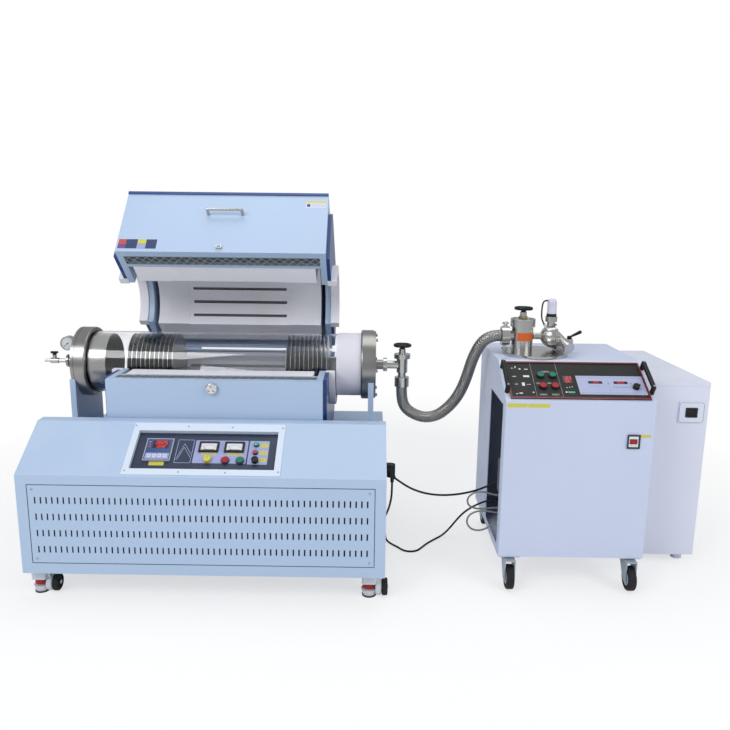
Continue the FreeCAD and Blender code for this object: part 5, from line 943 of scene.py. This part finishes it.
def console_print():
    """The printed fields of the console plate: the heating curve, the meter field and the lamp field."""
    work = bmesh.new()
    add_border(work, console_frame(-78, 119, PLATE_LIFT), 58, 102, 1.8, 0.4, 3)
    curve = console_frame(0, 0, PLATE_LIFT)
    for points in (((-103, 82), (-82, 152), (-54, 108)), ((-98, 82), (-81, 136), (-54, 94))):
        for start, end in zip(points, points[1:]):
            add_stroke(work, curve, start, end, 1.7, 0.4)
    add_slab(work, console_frame(50.5, 118, PLATE_LIFT), 187, 100, 0.5, 3)
    add_slab(work, console_frame(184, 116.5, PLATE_LIFT), 70, 103, 0.5, 3)
    add_stroke(work, console_frame(0, 0, PLATE_LIFT + 0.4), (51.5, 166), (51.5, 116), 0.8, 0.3, 1)
    small_piece("console_print", work, (PRINT_LAVENDER, PRINT_GREY_AND_SHADE), "furnace")


def console_labels():
    """Yellow strips beside the lamps, under the meters and under the controller, with no words."""
    work = bmesh.new()
    strips = [(-166, 64, 52, 16)]
    strips += [(x + 3, 108.5, 54, 9) for x in METER_X]
    strips += [(202, 148.5, 27, 18), (202, 115.5, 27, 17), (202, 84.5, 24, 17)]
    for index, (x, up, width, height) in enumerate(strips):
        place = console_frame(x, up, PLATE_LIFT + 0.4)
        add_slab(work, place, width, height, 0.35, 1.5)
        rows = 1 if height < 12 else 2
        add_legend(work, place @ across(0, 0, 0.32), width * 0.74, rows, 5.5, 1.5, index, 1)
    small_piece("console_labels", work, (PRINT_YELLOW, PRINT_GREY_AND_SHADE), "furnace")


def controller_front():
    """The controller's glossy face with its display, four keys and a row of lamps."""
    work = bmesh.new()
    face = console_frame(CONTROLLER_X, CONTROLLER_UP, CONTROLLER_FACE)
    add_slab(work, face, 89, 89, 0.8, 2)
    add_slab(work, face @ across(5, 22, 0.8), 58, 34, 0.5, 2, finish=1)
    add_figures(work, face @ across(6, 29.5), "0825", 14, 1.3, 2)
    add_figures(work, face @ across(6, 12.5), "0850", 10, 1.3, 2)
    for index in range(3):
        add_slab(work, face @ across(-35, 32 - 10 * index, 0.8), 5, 3, 0.4, 1, finish=2 if index else 3)
    add_slab(work, face @ across(0, -29, 0.8), 83, 26, 0.4, 2, finish=4)
    for index in range(4):
        key = face @ across(-28 + 18.6 * index, -29, 1.2)
        add_slab(work, key, 13.5, 15, 1.1, 2.5, 0.4, finish=3)
        add_stroke(work, key @ across(0, 0, 1.1), (-3, 0), (3, 0), 1.3, 0.15, 0)
    small_piece("controller_front", work,
                (CONTROLLER_BLUE, DISPLAY_DARK, FIGURE_RED, PRINT_PALE, PRINT_LAVENDER),
                "furnace")


def meter_faces():
    """Two moving-coil meter dials: a white card, a scale with its ticks, and a needle."""
    work = bmesh.new()
    marks, arcs, needle = 10, 16, math.radians(128)
    for x in METER_X:
        card = console_frame(x, METER_UP, METER_FLOOR)
        add_slab(work, card, 56.4, 31.4, 0.5, 1)
        pivot = card @ across(0, -24, 0.5)
        for index in range(marks + 1):
            angle = math.radians(132 - 84 * index / marks)
            inner, outer = (30, 34.5) if index % 5 == 0 else (31.5, 34)
            add_stroke(work, pivot, polar(inner, angle), polar(outer, angle), 0.5, 0.1, 1)
        for index in range(arcs):
            ends = (polar(30, math.radians(132 - 84 * step / arcs)) for step in (index, index + 1))
            add_stroke(work, pivot, *ends, 0.4, 0.1, 1)
        add_stroke(work, pivot @ across(0, 0, 0.6), polar(11, needle), polar(33, needle), 0.6, 0.3, 1)
        add_slab(work, card @ across(0, -13.4, 0.5), 40, 4.4, 0.7, 1, finish=2)
    small_piece("meter_faces", work, (PRINT_WHITE, PRINT_DARK_AND_SHADE, PRINT_GREY_AND_SHADE), "furnace")


def lamp_lenses():
    work = bmesh.new()
    dome = ((8.4, 0), (8.4, 1.0), (7.6, 2.4), (5.6, 3.6), (3.0, 4.2), (1.0, 4.4))
    for index, up in enumerate(LAMPS_UP):
        add_turned(work, console_frame(LAMPS_X, up, LAMP_FRONT), dome, 28, index)
    small_piece("lamp_lenses", work, (LENS_GREEN, LENS_RED), "furnace")


# Lower cabinet and chamber

VENT_MIDDLE_Z = 288.5
VENT_SIZE = (1192.0, 288.0)
MESH_START, MESH_END = 603.0, 653.0
MESH_HALF_LENGTH = 375.0


def vent_trim():
    """Corner screws of the slotted panel and the dark line of the gap round it."""
    work = bmesh.new()
    width, height = VENT_SIZE
    add_border(work, front_frame(0, VENT_MIDDLE_Z), width + 3, height + 3, 2.6, 0.25, 1.5, 2)
    for side in (-1, 1):
        for level in (-1, 1):
            corner = front_frame(side * (width / 2 - 17), VENT_MIDDLE_Z + level * (height / 2 - 16))
            add_screw(work, corner, 4.2)
    small_piece("vent_trim", work, (SCREW_STEEL, PRINT_DARK_AND_SHADE, SEAM_SHADE), "furnace")


def vent_shade_backing():
    # A dark sheet behind the slots, standing in for the shade inside the cabinet.
    work = bmesh.new()
    add_slab(work, front_frame(0, VENT_MIDDLE_Z, 12), 1158, 254, 6, 4, 1)
    small_piece("vent_shade_backing", work, (VENT_SHADE,), "furnace")


def add_expanded_mesh(work, place, half_length, depth, pitch=34.0, rows=3, strand=4.6, thick=2.0):
    """Expanded metal: wavy strands that meet at their crests and leave lens-shaped holes between."""
    spacing = depth / rows
    swing = (spacing - strand * 0.8) / 2
    steps = round(2 * half_length / pitch * 8)
    for row in range(rows + 1):
        middle = row * spacing
        turn = 1 if row % 2 else -1
        sections = []
        for step in range(steps + 1):
            x = -half_length + 2 * half_length * step / steps
            y = middle + turn * swing * math.cos(2 * math.pi * x / pitch)
            y = min(max(y, strand / 2), depth - strand / 2)
            lift = -thick / 2 + turn * 0.4 * math.sin(2 * math.pi * x / pitch)
            corners = ((-strand / 2, -thick / 2), (strand / 2, -thick / 2), (strand / 2, thick / 2),
                       (-strand / 2, thick / 2))
            sections.append([work.verts.new(place @ (Vector((x, y + dy, lift + dz - 0.6)) / 1000))
                             for dy, dz in corners])
        bridge(work, sections)


def rim_meshes():
    """The expanded metal over the air gap along the front of both halves' rims."""
    work = bmesh.new()
    add_expanded_mesh(work, lid_rim_frame(0, MESH_START), MESH_HALF_LENGTH, MESH_END - MESH_START)
    small_piece("lid_rim_mesh", work, (MESH_METAL,), "lid")
    work = bmesh.new()
    lower_rim = Matrix.Translation(at(0, LID_AXIS[0] - MESH_END, 748.0))
    add_expanded_mesh(work, lower_rim, MESH_HALF_LENGTH, MESH_END - MESH_START)
    small_piece("lower_rim_mesh", work, (MESH_METAL,), "furnace")


def lid_plates():
    """Coloured fields at the lid's left and a pale plate at its right, with no words."""
    work = bmesh.new()
    fields = ((-378.5, 49, 29, 22, 0), (-378.5, 26, 29, 22, 1), (-342, 37.5, 43, 45, 2),
              (-303.5, 49.5, 32, 20, 3), (-303.5, 26.5, 32, 24, 4), (-267, 37.5, 40, 45, 2))
    for x, rise, width, height, finish in fields:
        add_slab(work, lid_front_frame(x, rise), width, height, 0.6, 1, finish=finish)
    add_slab(work, lid_front_frame(352, 249), 82, 37, 0.4, 1.5, finish=5)
    add_slab(work, lid_front_frame(352, 262, 0.4), 80, 9, 0.2, 1, finish=3)
    add_legend(work, lid_front_frame(362, 245, 0.42), 52, 3, 5.5, 1.6, 7, 4)
    add_slab(work, lid_front_frame(323, 243, 0.4), 13, 15, 0.3, 4, finish=2)
    small_piece("lid_plates", work,
                (PRINT_RED, PRINT_PURPLE, PRINT_NAVY, PRINT_YELLOW, PRINT_LAVENDER, PRINT_PALE),
                "lid")


# Gauge, feet and wheels of the furnace

GAUGE_X, GAUGE_Z, GAUGE_DIAL_Y = -669.0, 822.0, 575.0
FOOT_X, FOOT_Y = (-606.0, 580.0), (75.0, 870.0)


def gauge_dial():
    work = bmesh.new()
    dial = front_frame(GAUGE_X, GAUGE_Z, GAUGE_DIAL_Y)
    add_turned(work, dial, ((25.6, 0), (25.6, 0.5), (25.2, 0.7), (1.0, 0.7)), 40)
    for index in range(25):
        angle = math.radians(225 - 270 * index / 24)
        inner = 18.5 if index % 4 == 0 else 20.5
        add_stroke(work, dial @ across(0, 0, 0.7), polar(inner, angle), polar(23, angle), 0.7, 0.1, 1)
    needle = math.radians(222)
    add_stroke(work, dial @ across(0, 0, 1.6), polar(-5, needle), polar(18, needle), 1.2, 0.3, 1)
    add_turned(work, dial @ across(0, 0, 0.7), ((2.6, 0), (2.6, 1.4), (1.2, 1.8)), 20, 1)
    small_piece("gauge_dial", work, (PRINT_WHITE, PRINT_DARK_AND_SHADE), "furnace")


def add_knurled_ring(work, place, radius, low, high, ribs, finish):
    """A thumb ring with ribs all round, slipped over a dial."""
    steps = ribs * 4
    rings = []
    for grow, lift in ((-0.9, low), (0, low + 1.2), (0, high - 1.2), (-0.9, high)):
        outline = []
        for step in range(steps):
            angle = 2 * math.pi * step / steps
            outline.append(polar(radius + grow + 0.5 * math.cos(ribs * angle), angle))
        rings.append(placed_ring(work, place, outline, lift))
    bridge(work, rings, finish)


def levelling_rings():
    """Red thumb rings that raise the feet, and the rubber soles under them."""
    work = bmesh.new()
    sole = ((25.5, 0.2), (25.7, 5.2), (24.4, 6.2), (22, 6.2), (22, 0.2))
    for x in FOOT_X:
        for y in FOOT_Y:
            add_knurled_ring(work, upright_frame(x, y, 0), 22.6, 30.5, 50.5, 24, 0)
            add_hoop(work, upright_frame(x, y, 0), sole, 40, 1)
    small_piece("levelling_rings", work, (RED_PLASTIC, BLACK_RUBBER), "furnace")


WHEEL_BODIES = {
    "cart_wheel_left": "wheel_left", "cart_wheel_right": "wheel_right",
    "front_caster_wheels": "front_caster_wheels", "rear_caster_wheels": "rear_caster_wheels",
    "cart_rear_wheels": "cart_rear_wheels",
}


def wheel_hubs(node, body):
    """Pressed hub caps on both faces of a node's wheels, one wheel for each end of its width."""
    low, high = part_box(node)
    radius = (high.z - low.z) * 500
    middle_y, middle_z = (low.y + high.y) / 2, (low.z + high.z) / 2
    work = bmesh.new()
    profile = ((radius * 0.58, 0), (radius * 0.58, 0.6), (radius * 0.5, 1.2), (radius * 0.44, 0.5),
               (radius * 0.22, 0.5), (radius * 0.2, 1.8), (radius * 0.08, 2.0))
    for x, lean in ((low.x, -90), (high.x, 90)):
        place = Matrix.Translation((x, middle_y, middle_z)) @ turned(lean, "Y")
        add_turned(work, place @ across(0, 0, -0.8), profile, 32)
    small_piece(node + "_hubs", work, (ZINC,), body)


# Pump cart

RACK_TOP = 6.0
RACK_FIELD = 4.0
BREAKER_AT = (458.0, 572.0)
MAIN_VALVE_AT = (1171.0, 480.0)
HEAD_AT = (1281.0, 480.0)
PORT_CLAMP_AT = (1103.5, 480, 892.0)
PORT_CLAMP_RADIUS = 37


def rack_trim():
    """The enamelled red border of the rack panel, a lighter red band along its outer edge as a painted
    highlight, and the two lines that part its fields.
    """
    work = bmesh.new()
    add_border(work, cart_slope_frame(266, 104.9, RACK_TOP), 495.4, 190.6, 7.6, 0.7, 2)
    # Painted highlight: a lighter red band along the border's outer edge.
    add_border(work, cart_slope_frame(266, 104.9, RACK_TOP + 0.7), 495.4, 190.6, 1.6, 0.3, 2, 1)
    lines = cart_slope_frame(0, 0, RACK_FIELD)
    for x in (112, 204.5):
        add_stroke(work, lines, (x, 20), (x, 190), 1.5, 0.5, 2)
    small_piece("rack_trim", work, (TRIM_RED, TRIM_RED_HIGHLIGHT, MESH_METAL), "furnace")


def rack_legend():
    """White marks, fields and bars of the pump control section; no words."""
    work = bmesh.new()
    marks = ((43, 164.8, 8, 3), (55.8, 171, 4, 9), (70.8, 161, 7, 6), (93.8, 160, 13, 4), (45, 121, 14, 3),
             (47.5, 80.8, 11, 3), (43.7, 32, 8, 3), (58, 35, 12, 5), (102.8, 40, 6, 5),
             (89, 122.6, 22, 9.5), (73, 81, 10, 17), (92, 80, 14, 2))
    for x, up, width, height in marks:
        add_slab(work, cart_slope_frame(x, up, RACK_FIELD), width, height, 0.35, 1)
    for x, up, width in ((136, 30, 27), (180, 30, 27), (163, 148, 28), (126, 86, 14), (168, 88, 14)):
        add_legend(work, cart_slope_frame(x, up, RACK_FIELD), width, 2, 4.5, 1.7, round(x + up), 0)
    for x in (226, 236, 246):
        add_slab(work, cart_slope_frame(x, 66 + (x - 226) / 5, RACK_FIELD), 4, 4, 0.35, 2)
    add_slab(work, cart_slope_frame(220, 43, RACK_FIELD), 7, 7, 0.5, 3.4)
    add_slab(work, cart_slope_frame(238, 42.5, RACK_FIELD), 26, 8, 0.5, 3, finish=1)
    small_piece("rack_legend", work, (PRINT_WHITE, LENS_GREEN), "furnace")


def rack_displays():
    """The dark red displays, and the pale gauge controller with its lines, marks and screws."""
    work = bmesh.new()
    add_slab(work, cart_slope_frame(236, 108, RACK_FIELD), 34, 38, 0.8, 2, finish=1)
    add_figures(work, cart_slope_frame(236, 115, RACK_FIELD), "120", 13, 0.85, 2)
    add_figures(work, cart_slope_frame(236, 98, RACK_FIELD), "05", 11, 0.85, 2)
    middle = cart_slope_frame(386.6, 79.5, RACK_FIELD)
    add_slab(work, middle, 239, 95, 1.8, 1.5, 0.4)
    front = cart_slope_frame(0, 0, RACK_FIELD + 1.8)
    for up in (117, 40):
        add_stroke(work, front, (272, up), (500, up), 0.9, 0.15, 3)
    add_stroke(work, front, (378, 48), (378, 108), 0.7, 0.15, 3)
    for x, figures in ((332, "1200"), (423, "0050")):
        add_slab(work, front @ across(x, 92.5), 50, 12.5, 0.9, 1.5, finish=1)
        add_figures(work, front @ across(x, 92.5), figures, 8, 0.95, 2)
    for index in range(7):
        add_slab(work, front @ across(394 + 8 * index, 70), 4.6, 4.6, 0.25, 1, finish=3)
    add_legend(work, front @ across(328, 72), 46, 1, 5, 1.4, 11, 3)
    for x, up in ((492, 86), (459, 89), (488, 60), (378, 88)):
        add_slab(work, front @ across(x, up), 4.2, 4.2, 0.3, 2, finish=4)
    for x, up in ((276, 122), (279, 38), (497, 122), (497, 38)):
        add_screw(work, front @ across(x, up), 3.2, 5, 3)
    small_piece("rack_displays", work,
                (PANEL_PALE, DISPLAY_DARK, FIGURE_RED, PRINT_GREY_AND_SHADE, PRINT_NAVY, SCREW_STEEL),
                "furnace")


def cart_fixings():
    """Screws at the roots of the cart's handles and yellow strips on its front, with no words."""
    work = bmesh.new()
    for x in (9.5, 522.5):
        for up in (45, 173):
            add_screw(work, cart_slope_frame(x, up, 38.6), 3.6)
    small_piece("cart_handle_screws", work, (SCREW_STEEL, PRINT_DARK_AND_SHADE), "furnace")
    work = bmesh.new()
    for start, end in ((6, 76), (79, 156)):
        add_slab(work, cart_front_frame((start + end) / 2, 698.5), end - start, 13, 0.4, 1.5)
    add_slab(work, cart_front_frame(501, 591.5), 36, 10, 0.4, 1.5)
    small_piece("cart_yellow_strips", work, (PRINT_YELLOW,), "furnace")


def breaker_frame():
    """The black escutcheon of the breaker with its white field, and the lines of its housing."""
    x, z = BREAKER_AT
    work = bmesh.new()
    add_border(work, cart_front_frame(x, z, 4), 46.6, 52, 6.4, 1.0, 3)
    add_slab(work, cart_front_frame(x, z + 14.5, 4), 33, 10, 0.5, 1, finish=1)
    add_slab(work, cart_front_frame(x, z - 14.5, 4), 33, 10, 0.5, 1, finish=1)
    add_legend(work, cart_front_frame(x, z - 14.5, 4.5), 20, 1, 4, 1.4, 3, 0)
    small_piece("breaker_frame", work, (PRINT_DARK_AND_SHADE, PRINT_WHITE), "furnace")


def valve_band():
    """The orange identification band round the front of the main valve's body."""
    x, y = MAIN_VALVE_AT
    work = bmesh.new()
    rings = []
    start, end, steps = -38, 60, 24
    section = ((41.55, 877), (42.2, 877), (42.2, 909), (41.55, 909))
    for step in range(steps + 1):
        angle = math.radians(start + (end - start) * step / steps)
        rings.append([work.verts.new(at(x + radius * math.sin(angle), y - radius * math.cos(angle), z))
                      for radius, z in section])
    bridge(work, rings)
    small_piece("valve_band", work, (BAND_ORANGE,), "furnace")


def head_cover():
    """The pale plastic cover of the gauge head and the black ring under it."""
    x, y = HEAD_AT
    work = bmesh.new()
    place = upright_frame(x, y, 0)
    cover = ((18.3, 981.5), (18.3, 990), (17.9, 991), (17.9, 1022), (17.4, 1028), (15.4, 1033.5),
             (11.6, 1037.6), (6.4, 1039.6), (1.0, 1040))
    add_turned(work, place, cover, 40)
    add_turned(work, place, ((18.9, 970.6), (19.2, 971.6), (19.2, 980.6), (18.9, 981.4)), 40, 1)
    small_piece("head_cover", work, (HEAD_PALE, BLACK_PLASTIC), "furnace")


def clamp_wing(name, x, y, z, radius, upward):
    """The swing bolt and wing nut that close a vacuum clamp; upward is 1 on top, -1 below."""
    work = bmesh.new()
    seat = upright_frame(x, y, z) @ turned(0 if upward > 0 else 180, "X") @ across(0, 0, radius - 3)
    add_turned(work, seat, ((7.5, 0), (8.0, 1.5), (8.0, 7), (6.5, 9), (4, 9.6)), 24)
    add_turned(work, seat, ((2.4, 9), (2.4, 22), (1.2, 23)), 16)
    nut = seat @ across(0, 0, 9.5)
    add_turned(work, nut, ((5.2, 0), (5.2, 4), (4, 6), (2.6, 6.6)), 20)
    for side in (-1, 1):
        wing = nut @ turned(90, "X") @ across(side * 8, 6.5, -1.2) @ turned(side * 24, "Z")
        add_slab(work, wing, 9, 11, 2.4, 4.4, 0.7)
    small_piece(name, work, (FITTING_STEEL,), "furnace")


def clamp_wings():
    clamp_wing("port_clamp_wing", *PORT_CLAMP_AT, PORT_CLAMP_RADIUS, 1)
    clamp_wing("port_clamp_tail", *PORT_CLAMP_AT, PORT_CLAMP_RADIUS, -1)


def brass_ring():
    """The brass gland under the main handwheel."""
    x, y = MAIN_VALVE_AT
    work = bmesh.new()
    profile = ((13.2, 961.2), (16.5, 961.4), (17, 963), (17, 970), (15.5, 972), (13.2, 972))
    add_hoop(work, upright_frame(x, y, 0), profile, 6)
    small_piece("valve_gland", work, (BRASS,), "furnace")


# Chiller

SWITCH_AT = (1811.0, 620.0)
CHILLER_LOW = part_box("chiller_case")[0]


def switch_plate():
    """The outline on the chiller's switch plate and the rim round its rocker."""
    front = (CHILLER_LOW.y - DATUM.y) * 1000
    work = bmesh.new()
    x, z = SWITCH_AT
    add_border(work, front_frame(x, z, front), 95, 79, 1.2, 0.3, 10, 1)
    add_border(work, front_frame(x, z, front), 47, 39, 2.6, 1.2, 3)
    small_piece("switch_plate", work, (PRINT_DARK_AND_SHADE, PRINT_GREY_AND_SHADE), "furnace")


# The whole set

for make_pieces in (bezel_screws, console_print, console_labels, controller_front, meter_faces, lamp_lenses,
                    vent_trim, vent_shade_backing, rim_meshes, lid_plates, gauge_dial, levelling_rings):
    make_pieces()
for wheel_node, wheel_body in WHEEL_BODIES.items():
    wheel_hubs(wheel_node, wheel_body)
for make_pieces in (rack_trim, rack_legend, rack_displays, cart_fixings, breaker_frame, valve_band,
                    head_cover, clamp_wings, brass_ring, switch_plate):
    make_pieces()
photo_camera()
studio()
